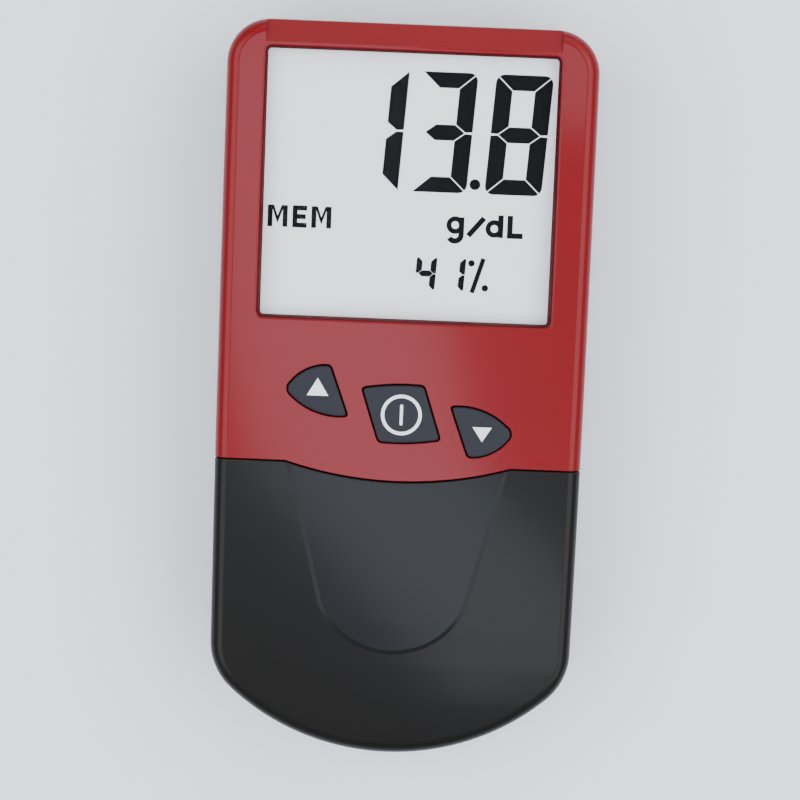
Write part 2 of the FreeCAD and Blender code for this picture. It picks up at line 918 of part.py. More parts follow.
chip_y = span(window_low + size.chip_rise, window_low + size.chip_rise + size.chip_width)
chip_z = span(size.chip_low, size.chip_low + size.chip_thickness)
socket_low_x = tub_half + size.tub_wall + size.socket_gap
chip_x = span(socket_low_x + size.socket_wall + size.chip_clearance, side)
chip_slot = block(
    "chip_slot", span(side - size.wall - PAST, side + PAST),
    span(chip_y[0] - size.chip_clearance, chip_y[1] + size.chip_clearance),
    span(chip_z[0] - size.chip_clearance, chip_z[1] + size.chip_clearance))
port_y = span(window_low + size.port_rise, window_low + size.port_rise + size.port_width)
port_z = span(size.port_low, size.port_low + size.port_height)
port_x = span(size.port_setback - side, size.port_setback + size.port_length - side)
port_hole = block(
    "port_hole", span(-side - PAST, size.wall + PAST - side),
    span(port_y[0] - size.port_clearance, port_y[1] + size.port_clearance),
    span(port_z[0] - size.port_clearance, port_z[1] + size.port_clearance))

front_sum = fuse(
    "front_sum", red_skin, tongue_reach_part, tongue_root_part, frame_pad, rib_ring, high_bosses)
front_housing = cut(
    "front_housing", front_sum, window_cut, band, rib_room, *key_holes, *high_pilots, chip_slot, port_hole)

# The black cover carries a slightly raised shield below the seam

shield_top = seam_y - size.seam_gap
shield_end = seam_y - size.shield_end_drop
shield_waist = seam_y - size.shield_waist_drop
shield_rise = shield_waist - shield_end
shield_end_radius = (
    size.shield_waist_half * size.shield_waist_half + shield_rise * shield_rise) / (2 * shield_rise)
shield_body = crowned_prism("shield_body", size.front_edge_radius, -size.shield_rise, lens_top - size.wall)
shield_corners = [
    (-size.shield_waist_half, shield_waist),
    (size.shield_waist_half, shield_waist),
    (size.seam_half_chord, shield_top),
    (size.seam_half_chord, seam_y + size.wall),
    (-size.seam_half_chord, seam_y + size.wall),
    (-size.seam_half_chord, shield_top),
]
shield_plan = prism(
    "shield_plan", shield_corners, {0: (shield_end_radius, 1)},
    span(lens_top - size.wall, size.body_height + PAST))
shield_raw = common("shield_raw", common("shield_crowned", shield_body, shield_plan), black_region)
shield = cut("shield", shield_raw, front_core)
lower_sum = fuse("lower_sum", black_skin, shield, low_bosses)
lower_front_cover = cut("lower_front_cover", lower_sum, *low_pilots)

# Rear shell

rear_high = size.parting_height - size.parting_gap / 2
rear_blank = outline_prism("rear_blank", 0, span(back_face, rear_high))
rounded(rear_blank, lambda edge: edge.BoundBox.ZMax < floor_top.value, size.back_edge_radius)
rear_core = outline_prism("rear_core", size.wall, span(floor_top, rear_high + PAST))
chamfered(rear_core, "rear_core_bevel", lambda edge: edge.BoundBox.ZMax < floor_top.value + size.wall.value,
          (size.back_edge_radius - size.wall) * BEVEL_SHARE)
lip_z = span(rear_high - size.lip_height, size.parting_height + size.lip_height)
lip_ring = cut(
    "lip_ring", outline_prism("lip_outer", size.wall - size.lip_thickness, lip_z),
    outline_prism("lip_inner", size.wall, span(lip_z[0] - PAST, lip_z[1] + PAST)))

# Battery tub: three cells side by side under a roof, open at the back for the door
tub_y = span(
    top_end - size.tub_top_margin - size.cell_length - size.plus_space - size.minus_space,
    top_end - size.tub_top_margin)
door_top = back_face + size.door_thickness
cell_low = door_top + size.cell_seat_gap
cell_middle = cell_low + cell_radius
tub_ceiling = cell_low + size.cell_diameter + size.cell_seat_gap
tub_outer = block(
    "tub_outer", around(0, tub_half + size.tub_wall),
    span(tub_y[0] - size.tub_wall, tub_y[1] + size.tub_wall),
    span(cell_low, tub_ceiling + size.tub_roof))
tub_room = block("tub_room", around(0, tub_half), tub_y, span(back_face - PAST, tub_ceiling))
door_low_y = tub_y[0] - size.tub_wall - size.door_clearance
door_rails = [
    block(f"door_rail_{word}", ends, span(door_low_y, top_end - size.wall / 2),
          span(back_face + size.wall / 2, size.rail_height))
    for word, ends in (
        ("left", span(-tub_half - size.rail_width, -tub_half)),
        ("right", span(tub_half, tub_half + size.rail_width)),
    )
]
door_hole = block(
    "door_hole", around(0, tub_half), span(door_low_y, top_end + PAST), span(back_face - PAST, cell_low))
tongue_z = span(back_face + size.door_lip + size.door_clearance,
                back_face + size.door_lip + size.door_clearance + size.door_tongue_height)
door_groove = block(
    "door_groove", around(0, tub_half + size.door_tongue), span(door_low_y, top_end + PAST),
    span(tongue_z[0] - size.door_clearance, tongue_z[1] + size.door_clearance))
cap_low_y = top_end - size.door_cap_depth
cap_hole = block(
    "cap_hole", around(0, tub_half + size.door_tongue), span(cap_low_y - size.door_clearance, top_end + PAST),
    span(back_face - PAST, back_face + size.door_cap_height + size.door_clearance))

CELL_PLACES = [(number - 1) * cell_pitch for number in range(3)]
tab_slots = []
for number, x in enumerate(CELL_PLACES):
    for word, y in (
        ("low", span(tub_y[0], tub_y[0] + 2 * size.contact_thickness)),
        ("high", span(tub_y[1] - 2 * size.contact_thickness, tub_y[1])),
    ):
        tab_slots.append(block(
            f"tab_slot_{word}_{number}", around(x, size.contact_tab_half + size.hole_clearance), y,
            span(tub_ceiling - PAST, tub_ceiling + size.tub_roof + PAST)))

# Tray guides on the floor, and bosses for the optics beside them
tray_half = size.tray_width / 2
tray_high = size.tray_low + size.tray_thickness
tray_rear = low_end + size.tray_length
panel_y = low_end + size.tray_panel_depth
guide_half = tray_half + size.tray_clearance
guide_top = tray_high + size.guide_gap
guide_y = span(panel_y + 2 * size.tray_clearance, tray_rear + size.guide_tail)
tray_guides = [
    block(f"tray_guide_{word}", ends, guide_y, span(back_face + size.wall / 2, guide_top))
    for word, ends in (
        ("left", span(-guide_half - size.guide_width, -guide_half)),
        ("right", span(guide_half, guide_half + size.guide_width)),
    )
]
groove_z = span(size.tray_tongue_low - size.tray_clearance,
                size.tray_tongue_low + size.tray_tongue_height + size.tray_clearance)
tongue_half = tray_half + size.tray_tongue
tray_groove = block(
    "tray_groove", around(0, tongue_half + size.tray_clearance),
    span(panel_y, guide_y[1] + PAST), groove_z)
stop_half = tongue_half + size.tray_stop
stop_front = tray_rear - size.tray_stop_length - size.tray_travel - size.tray_clearance
stop_room = block(
    "stop_room", around(0, stop_half + size.tray_clearance), span(stop_front, guide_y[1] + PAST), groove_z)
tray_mouth = block(
    "tray_mouth", around(0, size.tray_panel_half + size.tray_clearance),
    span(low_end - PAST, panel_y + size.tray_clearance),
    span(size.tray_panel_low - size.tray_clearance, size.tray_panel_high + size.tray_clearance))
finger_notch = rod(
    "finger_notch", ZERO, low_end + size.finger_depth - size.finger_radius,
    span(back_face - PAST, size.tray_panel_low), size.finger_radius)

optics_y = span(low_end + size.optics_start, low_end + size.optics_start + size.optics_length)
optics_middle = (optics_y[0] + optics_y[1]) / 2
OPTICS_SCREWS = [(size.optics_screw_x, optics_middle), (-size.optics_screw_x, optics_middle)]
optics_bosses = [
    block(f"optics_boss_{number}", around(x, size.optics_boss_half), around(y, size.optics_boss_half),
          span(back_face + size.wall / 2, guide_top))
    for number, (x, y) in enumerate(OPTICS_SCREWS)
]
optics_pilots = [
    hexagon(f"optics_pilot_{number}", x, y, span(floor_top, guide_top + PAST), size.small_pilot_radius)
    for number, (x, y) in enumerate(OPTICS_SCREWS)
]

# Board posts: two with screws at the lower end, two with locating pins at the top
post_x = board_half - size.post_side_margin
LOW_POSTS = [(sign * post_x, board_start + size.post_low_margin) for sign in (1, -1)]
HIGH_POSTS = [(sign * post_x, board_end - size.post_high_margin) for sign in (1, -1)]
post_z = span(back_face + size.wall / 2, board_low)
board_posts = [
    block(f"board_post_{number}", around(x, size.post_half), around(y, size.post_half), post_z)
    for number, (x, y) in enumerate(LOW_POSTS + HIGH_POSTS)
]
board_pins = [
    block(f"board_pin_{number}", around(x, size.locating_pin_half), around(y, size.locating_pin_half),
          span(board_low - PAST, board_top))
    for number, (x, y) in enumerate(HIGH_POSTS)
]
board_pilots = [
    hexagon(f"board_pilot_{number}", x, y, span(board_low - size.small_shank_length, board_low + PAST),
        size.small_pilot_radius)
    for number, (x, y) in enumerate(LOW_POSTS)
]

case_bosses = [
    rod(f"case_boss_{number}", x, y, span(back_face + size.wall / 2, rear_high),
        size.rear_boss_radius)
    for number, (x, y) in enumerate(CASE_SCREWS)
]
case_holes = [
    hexagon(f"case_hole_{number}", x, y, span(back_face - PAST, boss_meet + PAST),
        size.case_shank_radius + size.hole_clearance)
    for number, (x, y) in enumerate(CASE_SCREWS)
]
case_recesses = [
    rod(f"case_recess_{number}", x, y,
        span(back_face - PAST, back_face + size.case_head_recess + size.case_head_height),
        size.case_recess_radius)
    for number, (x, y) in enumerate(CASE_SCREWS)
]
FEET = [
    (sign * (side - margin), y)
    for margin, y in (
        (size.foot_high_margin, top_end - size.foot_end_margin),
        (size.foot_low_margin, low_end + size.foot_end_margin),
    )
    for sign in (1, -1)
]
buzzer_x = size.buzzer_side_margin - side
buzzer_y = board_start + size.post_low_margin + size.buzzer_rise
sound_slots = [
    block(f"sound_slot_{number}", around(buzzer_x, size.slot_half),
          around(buzzer_y + (number - 1) * size.slot_pitch, size.slot_width / 2),
          span(back_face - PAST, floor_top + PAST))
    for number in range(3)
]

rear_shell = cut("rear_shell", rear_blank, rear_core)
inside_limit = common(
    "inside_parts",
    fuse("inside_sum", *door_rails, *tray_guides, *optics_bosses, *case_bosses),
    outline_prism("inside_limit", size.wall / 2, span(back_face, size.body_height)))
rear_sum = fuse("rear_sum", rear_shell, lip_ring, tub_outer, inside_limit, *board_posts, *board_pins)
rear_housing = cut(
    "rear_housing", rear_sum, tub_room, door_hole, door_groove, cap_hole, *tab_slots, tray_groove,
    stop_room, tray_mouth, finger_notch, *optics_pilots, *board_pilots, *case_holes, *case_recesses,
    *sound_slots)

# Battery door: a plate with tongues in the rails and an end cap in the end wall

door_inner = door_low_y + size.door_clearance
plate_half = tub_half - size.door_clearance
door_plate = block("door_plate", around(0, plate_half), span(door_inner, top_end), span(back_face, door_top))
door_tongues = block(
    "door_tongues", around(0, tub_half + size.door_tongue - size.door_clearance),
    span(door_inner, top_end - size.wall / 2), tongue_z)
door_cap = block(
    "door_cap", around(0, tub_half + size.door_tongue - size.door_clearance),
    span(cap_low_y, top_end), span(back_face, back_face + size.door_cap_height))
thumb_grooves = [
    block(f"thumb_groove_{number}", around(0, size.thumb_groove_half),
          around(top_end - size.tub_top_margin - (number + 1) * size.thumb_groove_pitch,
                 size.thumb_groove_width / 2),
          span(back_face - PAST, back_face + size.thumb_groove_depth))
    for number in range(6)
]
door_sum = fuse("door_sum", door_plate, door_tongues, door_cap)
battery_door = cut("battery_door", common("door_trimmed", door_sum, rear_blank), *thumb_grooves)

# Batteries and their contacts

batteries = []
for number, x in enumerate(CELL_PLACES):
    nub_up = number != 1
    low = tub_y[0] + (size.minus_space if nub_up else size.plus_space)
    can = named("Part::Cylinder", f"cell_can_{number}")
    nub = named("Part::Cylinder", f"cell_nub_{number}")
    can_low = low if nub_up else low + size.cell_nub_length
    nub_low = low + size.cell_length - size.cell_nub_length if nub_up else low
    for item, radius, length, start in (
        (can, cell_radius, size.cell_length - size.cell_nub_length, can_low),
        (nub, size.cell_nub_radius, size.cell_nub_length, nub_low),
    ):
        item.Placement.Rotation = FreeCAD.Rotation(V(1, 0, 0), -90)
        set_size(item, "Radius", radius)
        set_size(item, "Height", length)
        set_size(item, "Placement.Base.x", x)
        set_size(item, "Placement.Base.y", start)
        set_size(item, "Placement.Base.z", cell_middle)
    batteries.append(fuse(f"battery_{number + 1}", can, nub))

contact_z = span(cell_low + size.contact_margin, tub_ceiling)
plus_contacts = []
minus_contacts = []
for number, x in enumerate(CELL_PLACES):
    nub_up = number != 1
    high_wall = span(tub_y[1] - size.contact_thickness, tub_y[1])
    low_wall = span(tub_y[0], tub_y[0] + size.contact_thickness)
    plus_wall = high_wall if nub_up else low_wall
    minus_wall = low_wall if nub_up else high_wall
    for kind, wall in (("plus", plus_wall), ("minus", minus_wall)):
        plate = block(f"{kind}_plate_{number}", around(x, size.contact_half_width), wall, contact_z)
        tab = block(f"{kind}_tab_{number}", around(x, size.contact_tab_half), wall,
                    span(contact_z[0] + size.contact_margin, board_low))
        if kind == "plus":
            plus_contacts.append(fuse(f"plus_contact_{number}", plate, tab))
            continue
        inwards = 1 if nub_up else -1
        base = wall[1] if nub_up else wall[0]
        skin = size.contact_thickness
        apex = base + inwards * (size.minus_space - size.contact_thickness)
        leaf_points = [
            (base, contact_z[0]),
            (base, contact_z[0] + skin),
            (apex - inwards * skin, cell_middle),
            (base + inwards * skin, contact_z[1] - 2 * size.contact_margin),
            (base + 2 * inwards * skin, contact_z[1] - 2 * size.contact_margin),
            (apex, cell_middle),
            (base + inwards * skin, contact_z[0]),
        ]
        leaf = across(f"minus_leaf_{number}", leaf_points, None, around(x, size.contact_half_width / 2))
        minus_contacts.append(fuse(f"minus_contact_{number}", plate, tab, leaf))
battery_plus_contacts = group("battery_plus_contacts", plus_contacts)
battery_minus_contacts = group("battery_minus_contacts", minus_contacts)

# Strip tray: a blade with tongues, a front panel that follows the end of the body, and stops at the back

strip_floor = tray_high - size.strip_depth
tray_blade = block("tray_blade", around(0, tray_half), span(panel_y - PAST, tray_rear),
                   span(size.tray_low, tray_high))
tongue_height = span(size.tray_tongue_low, size.tray_tongue_low + size.tray_tongue_height)
tray_tongues = block(
    "tray_tongues", around(0, tongue_half), span(panel_y + size.tray_tongue, tray_rear), tongue_height)
tray_stops = block(
    "tray_stops", around(0, stop_half), span(tray_rear - size.tray_stop_length, tray_rear), tongue_height)
panel_box = block(
    "panel_box", around(0, size.tray_panel_half), span(low_end - PAST, panel_y),
    span(size.tray_panel_low, size.tray_panel_high))
tray_panel = common("tray_panel", panel_box, rear_blank)
strip_channel = block(
    "strip_channel", around(0, size.strip_width / 2), span(low_end - PAST, low_end + size.strip_stop),
    span(strip_floor, size.tray_panel_high + PAST))
strip_mouth = block(
    "strip_mouth", around(0, size.mouth_width / 2), span(low_end - PAST, low_end + size.mouth_depth),
    span(strip_floor, size.tray_panel_high + PAST))
reference_y = span(low_end + size.reference_start, low_end + size.reference_start + size.reference_length)
reference_room = block(
    "reference_room", around(0, size.reference_width / 2 + size.hole_clearance),
    span(reference_y[0] - size.hole_clearance, reference_y[1] + size.hole_clearance),
    span(strip_floor, tray_high + PAST))
grip_rings = []
for number in range(2):
    low = size.tray_panel_low + (number + 1) * size.grip_groove_pitch
    grip_z = span(low, low + size.grip_groove_height)
    grip_rings.append(cut(
        f"grip_ring_{number}", outline_prism(f"grip_outer_{number}", -PAST, grip_z),
        outline_prism(f"grip_inner_{number}", size.grip_groove_depth, span(low - PAST, grip_z[1] + PAST))))
tray_sum = fuse("tray_sum", tray_blade, tray_tongues, tray_stops, tray_panel)
strip_tray = cut("strip_tray", tray_sum, strip_channel, strip_mouth, reference_room, *grip_rings)
reference_pad = block(
    "reference_pad", around(0, size.reference_width / 2), reference_y, span(strip_floor, tray_high))

# Optics block over the tray: a read bore between two slanted lamp bores

read_y = low_end + size.read_point
optics_low = guide_top
optics_high = optics_low + size.optics_height
optics_raw = block("optics_raw", around(0, size.optics_half_width), optics_y, span(optics_low, optics_high))
window_room = block(
    "window_room", around(0, size.window_plate_half + size.hole_clearance),
    around(read_y, size.window_plate_half + size.hole_clearance),
    span(optics_low - PAST, optics_low + size.window_plate_thickness))
read_bore = block(
    "read_bore", around(0, size.bore_half), around(read_y, size.bore_half),
    span(optics_low, optics_high + PAST))
lamp_half = size.bore_half - size.pocket_clearance
lamp_bores = [
    along(f"lamp_bore_{word}", [
        (-lamp_half, optics_low),
        (lamp_half, optics_low),
        (lamp_half + sign * size.led_offset, optics_high),
        (sign * size.led_offset - lamp_half, optics_high),
    ], None, around(read_y, lamp_half))
    for word, sign in (("left", -1), ("right", 1))
]
LAMPS = [(-size.led_offset, read_y), (size.led_offset, read_y)]
pockets = [
    block(f"pocket_{number}", around(x, size.led_size / 2 + size.pocket_clearance),
          around(y, size.led_size / 2 + size.pocket_clearance),
          span(optics_high - size.led_height - size.pocket_clearance, optics_high + PAST))
    for number, (x, y) in enumerate(LAMPS + [(ZERO, read_y)])
]
optics_holes = [
    hexagon(f"optics_hole_{number}", x, y,
            span(optics_low - PAST, optics_high + size.optics_board_thickness + PAST),
        size.small_shank_radius + size.hole_clearance)
    for number, (x, y) in enumerate(OPTICS_SCREWS)
]
optics_block = cut("optics_block", optics_raw, window_room, read_bore, *lamp_bores, *pockets, *optics_holes)
optics_window = block(
    "optics_window", around(0, size.window_plate_half), around(read_y, size.window_plate_half),
    span(optics_low, optics_low + size.window_plate_thickness))
optics_leds = group("optics_leds", [
    block(f"optics_led_{number}", around(x, size.led_size / 2), around(y, size.led_size / 2),
          span(optics_high - size.led_height, optics_high))
    for number, (x, y) in enumerate(LAMPS)
])
photodiode = block(
    "photodiode", around(0, size.led_size / 2), around(read_y, size.led_size / 2),
    span(optics_high - size.led_height, optics_high))
optics_board_z = span(optics_high, optics_high + size.optics_board_thickness)
optics_board_raw = block(
    "optics_board_raw", around(0, size.optics_half_width),
    span(optics_y[0], optics_y[1] + size.optics_board_tail), optics_board_z)
header_y = span(optics_y[0] + size.optics_screw_inset / 2,
                optics_y[0] + size.optics_screw_inset / 2 + size.header_depth)
header_middle = (header_y[0] + header_y[1]) / 2
pin_length = around(0, size.header_half - size.header_depth / 2)
header_slot = block(
    "header_slot", span(pin_length[0] - size.hole_clearance, pin_length[1] + size.hole_clearance),
    around(header_middle, size.header_pin_half + size.hole_clearance),
    span(board_low - PAST, board_top + PAST))
optics_board = cut("optics_board", optics_board_raw, *optics_holes)
header_body = block("header_body", around(0, size.header_half), header_y, span(optics_board_z[1], board_low))
header_pins = block(
    "header_pins", pin_length, around(header_middle, size.header_pin_half),
    span(board_low - size.header_pin_half, board_top + size.header_pin_half))
optics_header = fuse("optics_header", header_body, header_pins)


def small_screw(name, x, y, seat):
    """A small hexagon-head screw that goes down through a board from its top face."""
    head = hexagon(f"{name}_head", x, y, span(seat, seat + size.small_head_height), size.small_head_radius)
    shank = hexagon(
        f"{name}_shank", x, y, span(seat - size.small_shank_length, seat), size.small_shank_radius)
    return fuse(name, head, shank)


optics_screws = group("optics_screws", [
    small_screw(f"optics_screw_{number}", x, y, optics_board_z[1])
    for number, (x, y) in enumerate(OPTICS_SCREWS)
])
board_screws = group("board_screws", [
    small_screw(f"board_screw_{number}", x, y, board_top)
    for number, (x, y) in enumerate(LOW_POSTS)
])
head_low = back_face + size.case_head_recess
head_high = head_low + size.case_head_height
housing_screws = group("housing_screws", [
    fuse(f"housing_screw_{number}",
         rod(f"case_head_{number}", x, y, span(head_low, head_high), size.case_head_radius),
         hexagon(f"case_shank_{number}", x, y, span(head_high, head_high + size.case_shank_length),
                 size.case_shank_radius))
    for number, (x, y) in enumerate(CASE_SCREWS)
])
rubber_feet = group("rubber_feet", [
    rod(f"foot_{number}", x, y, span(ZERO, back_face), size.foot_radius)
    for number, (x, y) in enumerate(FEET)
])

# Tray switch under the tail of the optics board, its plunger at the back of the tray

switch_y = span(tray_rear + size.switch_gap, tray_rear + size.switch_gap + size.switch_depth)
switch_body = block("switch_body", around(0, size.switch_half), switch_y, span(size.switch_low, optics_high))
plunger = named("Part::Cylinder", "switch_plunger")
plunger.Placement.Rotation = FreeCAD.Rotation(V(1, 0, 0), -90)
set_size(plunger, "Radius", size.plunger_radius)
set_size(plunger, "Height", size.plunger_reach)
set_size(plunger, "Placement.Base.y", tray_rear + size.tray_clearance)
set_size(plunger, "Placement.Base.z", size.plunger_height)
tray_switch = fuse("tray_switch", switch_body, plunger)

# Main board with what is on it

board_raw = block(
    "board_raw", around(0, board_half), span(board_start, board_end), span(board_low, board_top))
board_notches = [
    block(f"board_notch_{number}", around(x, size.notch_half), around(y, size.notch_half),
          span(board_low - PAST, board_top + PAST))
    for number, (x, y) in enumerate(CASE_SCREWS)
]
socket_y = span(chip_y[0] - size.chip_clearance - size.socket_wall,
                chip_y[1] + size.chip_clearance + size.socket_wall)
socket_x = span(socket_low_x, side - size.wall - size.socket_wall)
socket_z = span(chip_z[0] - size.chip_clearance - size.socket_wall,
                chip_z[1] + size.chip_clearance + size.socket_wall)
socket_notch = block(
    "socket_notch", span(socket_x[0] - size.hole_clearance, side),
    span(socket_y[0] - size.hole_clearance, socket_y[1] + size.hole_clearance),
    span(board_low - PAST, board_top + PAST))
port_notch = block(
    "port_notch", span(-side, port_x[1] + size.hole_clearance),
    span(port_y[0] - size.hole_clearance, port_y[1] + size.hole_clearance),
    span(board_low - PAST, board_top + PAST))
post_holes = [
    hexagon(f"post_hole_{number}", x, y, span(board_low - PAST, board_top + PAST),
            size.small_shank_radius + size.hole_clearance)
    for number, (x, y) in enumerate(LOW_POSTS)
]
peg_half = size.locating_pin_half + size.hole_clearance
peg_holes = [
    block(f"peg_hole_{number}", around(x, peg_half), around(y, peg_half),
          span(board_low - PAST, board_top + PAST))
    for number, (x, y) in enumerate(HIGH_POSTS)
]
main_board = cut(
    "main_board", board_raw, *board_notches, socket_notch, port_notch, *post_holes, *peg_holes, header_slot)


mat_low_y = key_y - size.mat_half_length
free_middle = (header_y[1] + mat_low_y) / 2


def package(name, word):
    """A flat package on the top of the board."""
    x, drop, half_x, half_y, tall = (
        getattr(size, f"{word}_{kind}") for kind in ("x", "drop", "half_x", "half_y", "tall"))
    return block(
        name, around(x, half_x), around(free_middle - drop, half_y), span(board_top, board_top + tall))


processor_chip = package("processor_chip", "processor")
board_chips = group("board_chips", [
    package(f"{word}_package", word) for word in ("driver", "memory", "amplifier", "regulator")])
crystal = package("crystal", "timing")
buzzer = rod("buzzer", buzzer_x, buzzer_y, span(board_low - size.buzzer_height, board_low),
             size.buzzer_radius)
port_outer = block("port_outer", port_x, port_y, port_z)
port_inner = block(
    "port_inner", span(port_x[0] - PAST, port_x[1] - size.port_wall),
    span(port_y[0] + size.port_wall, port_y[1] - size.port_wall),
    span(port_z[0] + size.port_wall, port_z[1] - size.port_wall))
port_tongue = block(
    "port_tongue", span(port_x[0] + size.port_wall, port_x[1]),
    around((port_y[0] + port_y[1]) / 2, size.port_tongue_width / 2),
    around((port_z[0] + port_z[1]) / 2, size.port_tongue_thickness / 2))
usb_port = fuse("usb_port", cut("port_shell", port_outer, port_inner), port_tongue)

socket_outer = block("socket_outer", socket_x, socket_y, socket_z)
socket_room = block(
    "socket_room", span(chip_x[0] - size.chip_clearance, side),
    span(chip_y[0] - size.chip_clearance, chip_y[1] + size.chip_clearance),
    span(chip_z[0] - size.chip_clearance, chip_z[1] + size.chip_clearance))
chip_socket = cut("chip_socket", socket_outer, socket_room)
chip_card = block("chip_card", chip_x, chip_y, chip_z)
chip_nib = block(
    "chip_nib_block", span(side - size.wall / 2, side + size.chip_nib),
    span(chip_y[0], chip_y[0] + size.chip_nib_width), chip_z)
code_chip = fuse("code_chip", chip_card, chip_nib)

# Display stack

display_lens = block("display_lens", around(0, lens_side), lens_y, span(lens_low, lens_top))
glass_side = window_side + size.glass_margin
glass_y = span(window_low - size.glass_margin - size.contact_ledge, window_top + size.glass_margin)
gasket_out = window_side + size.glass_margin
gasket_ring_y = span(window_low - size.glass_margin, window_top + size.glass_margin)
display_gasket = cut(
    "display_gasket",
    block("gasket_outer", around(0, gasket_out), gasket_ring_y, span(glass_top, lens_low)),
    block("gasket_inner", around(0, gasket_out - size.gasket_width),
          span(gasket_ring_y[0] + size.gasket_width, gasket_ring_y[1] - size.gasket_width),
          span(glass_top - PAST, lens_low + PAST)))
lcd_glass = fuse(
    "lcd_glass",
    block("front_ply", around(0, glass_side), glass_y, span(glass_step, glass_top)),
    block("back_ply", around(0, glass_side), span(glass_y[0] + size.contact_ledge, glass_y[1]),
          span(glass_low, glass_step)))
lcd_reflector = block(
    "lcd_reflector", around(0, glass_side), span(glass_y[0] + size.contact_ledge, glass_y[1]),
    span(holder_top, glass_low))
holder_out = size.holder_clearance + size.holder_rim
holder_outer = block(
    "holder_outer", around(0, glass_side + holder_out),
    span(glass_y[0] - holder_out, glass_y[1] + holder_out),
    span(board_top, glass_top - size.holder_clearance))
holder_room = block(
    "holder_room", around(0, glass_side + size.holder_clearance),
    span(glass_y[0] - size.holder_clearance, glass_y[1] + size.holder_clearance),
    span(holder_top, glass_top + PAST))
holder_well = block(
    "holder_well", around(0, window_side - size.well_margin),
    span(window_low + size.well_margin, window_top - size.well_margin),
    span(board_top + size.holder_floor, holder_top + PAST))
connector_y = span(glass_y[0] + size.contact_ledge / 2 - size.connector_width / 2,
                   glass_y[0] + size.contact_ledge / 2 + size.connector_width / 2)
connector_room = block(
    "connector_room", around(0, window_side - size.connector_inset + size.holder_clearance),
    span(connector_y[0] - size.holder_clearance, connector_y[1] + size.holder_clearance),
    span(board_top - PAST, holder_top + PAST))
lcd_holder = cut("lcd_holder", holder_outer, holder_room, holder_well, connector_room)
lcd_connector = block(
    "lcd_connector", around(0, window_side - size.connector_inset), connector_y, span(board_top, glass_step))

# Keypad mat with three rubber webs that carry the keys

mat_top = board_top + size.mat_thickness
keypad_mat = block(
    "keypad_mat", around(size.key_shift, size.mat_half_width), around(key_y, size.mat_half_length),
    span(board_top, mat_top))
key_springs = {}
for key_name, (corners, arcs) in KEYS.items():
    x, y = middle_of(corners)
    web_name = key_name.replace("key_", "key_spring_")
    web_z = span(mat_top, key_low)
    outer = block(f"{web_name}_outer", around(x, size.web_half), around(y, size.web_half), web_z)
    room_half = size.web_half - size.web_thickness
    inner = block(f"{web_name}_inner", around(x, room_half), around(y, room_half), web_z)
    key_springs[web_name] = cut(web_name, outer, inner)

# Export

NODES = [
    front_housing, lower_front_cover, rear_housing, battery_door, display_lens, housing_screws, rubber_feet,
    lcd_glass, display_gasket, lcd_reflector, lcd_holder, lcd_connector,
    *key_solids.values(), keypad_mat, *key_springs.values(),
    main_board, processor_chip, board_chips, crystal, buzzer, usb_port, chip_socket, code_chip, board_screws,
    *batteries, battery_plus_contacts, battery_minus_contacts,
    strip_tray, reference_pad, optics_block, optics_window, optics_board, optics_leds, photodiode,
    optics_header, optics_screws, tray_switch,
]

doc.recompute()
for item in doc.Objects:
    if "Invalid" in item.State or "Error" in item.State:
        raise RuntimeError(f"{item.Label} failed: {item.State}")
os.makedirs("parts", exist_ok=True)
for item in NODES:
    if item.Shape.isNull() or not item.Shape.isValid():
        raise RuntimeError(f"{item.Label} has no sound shape")
for item in NODES:
    item.Shape.exportStep(f"parts/{item.Label}.step")
    print(item.Label, len(item.Shape.Solids), "solids", round(item.Shape.Volume, 1), "mm3")
print(len(NODES), "nodes")
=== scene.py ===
# %% [markdown]
# A handheld hemoglobin meter, lying on its back on a pale table. The measured solids are loaded first,
# as a fixed frame. Every piece below is drawn in the same millimetres, so that it meets its
# neighbours by number and not by eye.

# %% Load the measured solids
import math

import bmesh
import bpy
from mathutils import Matrix, Vector


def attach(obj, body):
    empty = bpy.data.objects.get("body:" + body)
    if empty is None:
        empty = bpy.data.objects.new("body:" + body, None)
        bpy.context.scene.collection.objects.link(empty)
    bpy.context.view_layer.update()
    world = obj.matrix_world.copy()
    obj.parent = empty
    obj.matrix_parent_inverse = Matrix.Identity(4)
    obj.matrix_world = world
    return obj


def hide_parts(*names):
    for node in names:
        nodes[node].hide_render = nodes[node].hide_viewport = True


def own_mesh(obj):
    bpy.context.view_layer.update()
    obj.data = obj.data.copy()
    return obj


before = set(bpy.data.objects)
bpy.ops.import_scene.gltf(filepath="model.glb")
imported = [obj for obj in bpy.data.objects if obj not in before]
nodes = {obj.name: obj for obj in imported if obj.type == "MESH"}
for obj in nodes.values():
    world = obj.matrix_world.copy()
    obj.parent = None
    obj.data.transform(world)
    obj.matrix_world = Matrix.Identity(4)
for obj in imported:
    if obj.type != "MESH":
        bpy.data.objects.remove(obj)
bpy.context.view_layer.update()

MM = 0.001
bpy.ops.object.select_all(action="DESELECT")
print("solids in the frame:", len(nodes))

# %% [markdown]
# Almost every piece here starts as a flat face with the right outline, which is extruded and then
# shaped. A circle with as many corners as the outline needs is the quickest start: its corners are
# laid on the outline, and Blender's own edit tools do the rest. The helpers below stand for steps that
# come back at almost every piece, so that each later cell shows only what is special about its piece.

# %% Helpers: select one piece, and pick its parts by place
def work_on(piece):
    """Select one piece alone, so that an operator can't touch the others."""
    bpy.ops.object.select_all(action="DESELECT")
    piece.select_set(True)
    bpy.context.view_layer.objects.active = piece


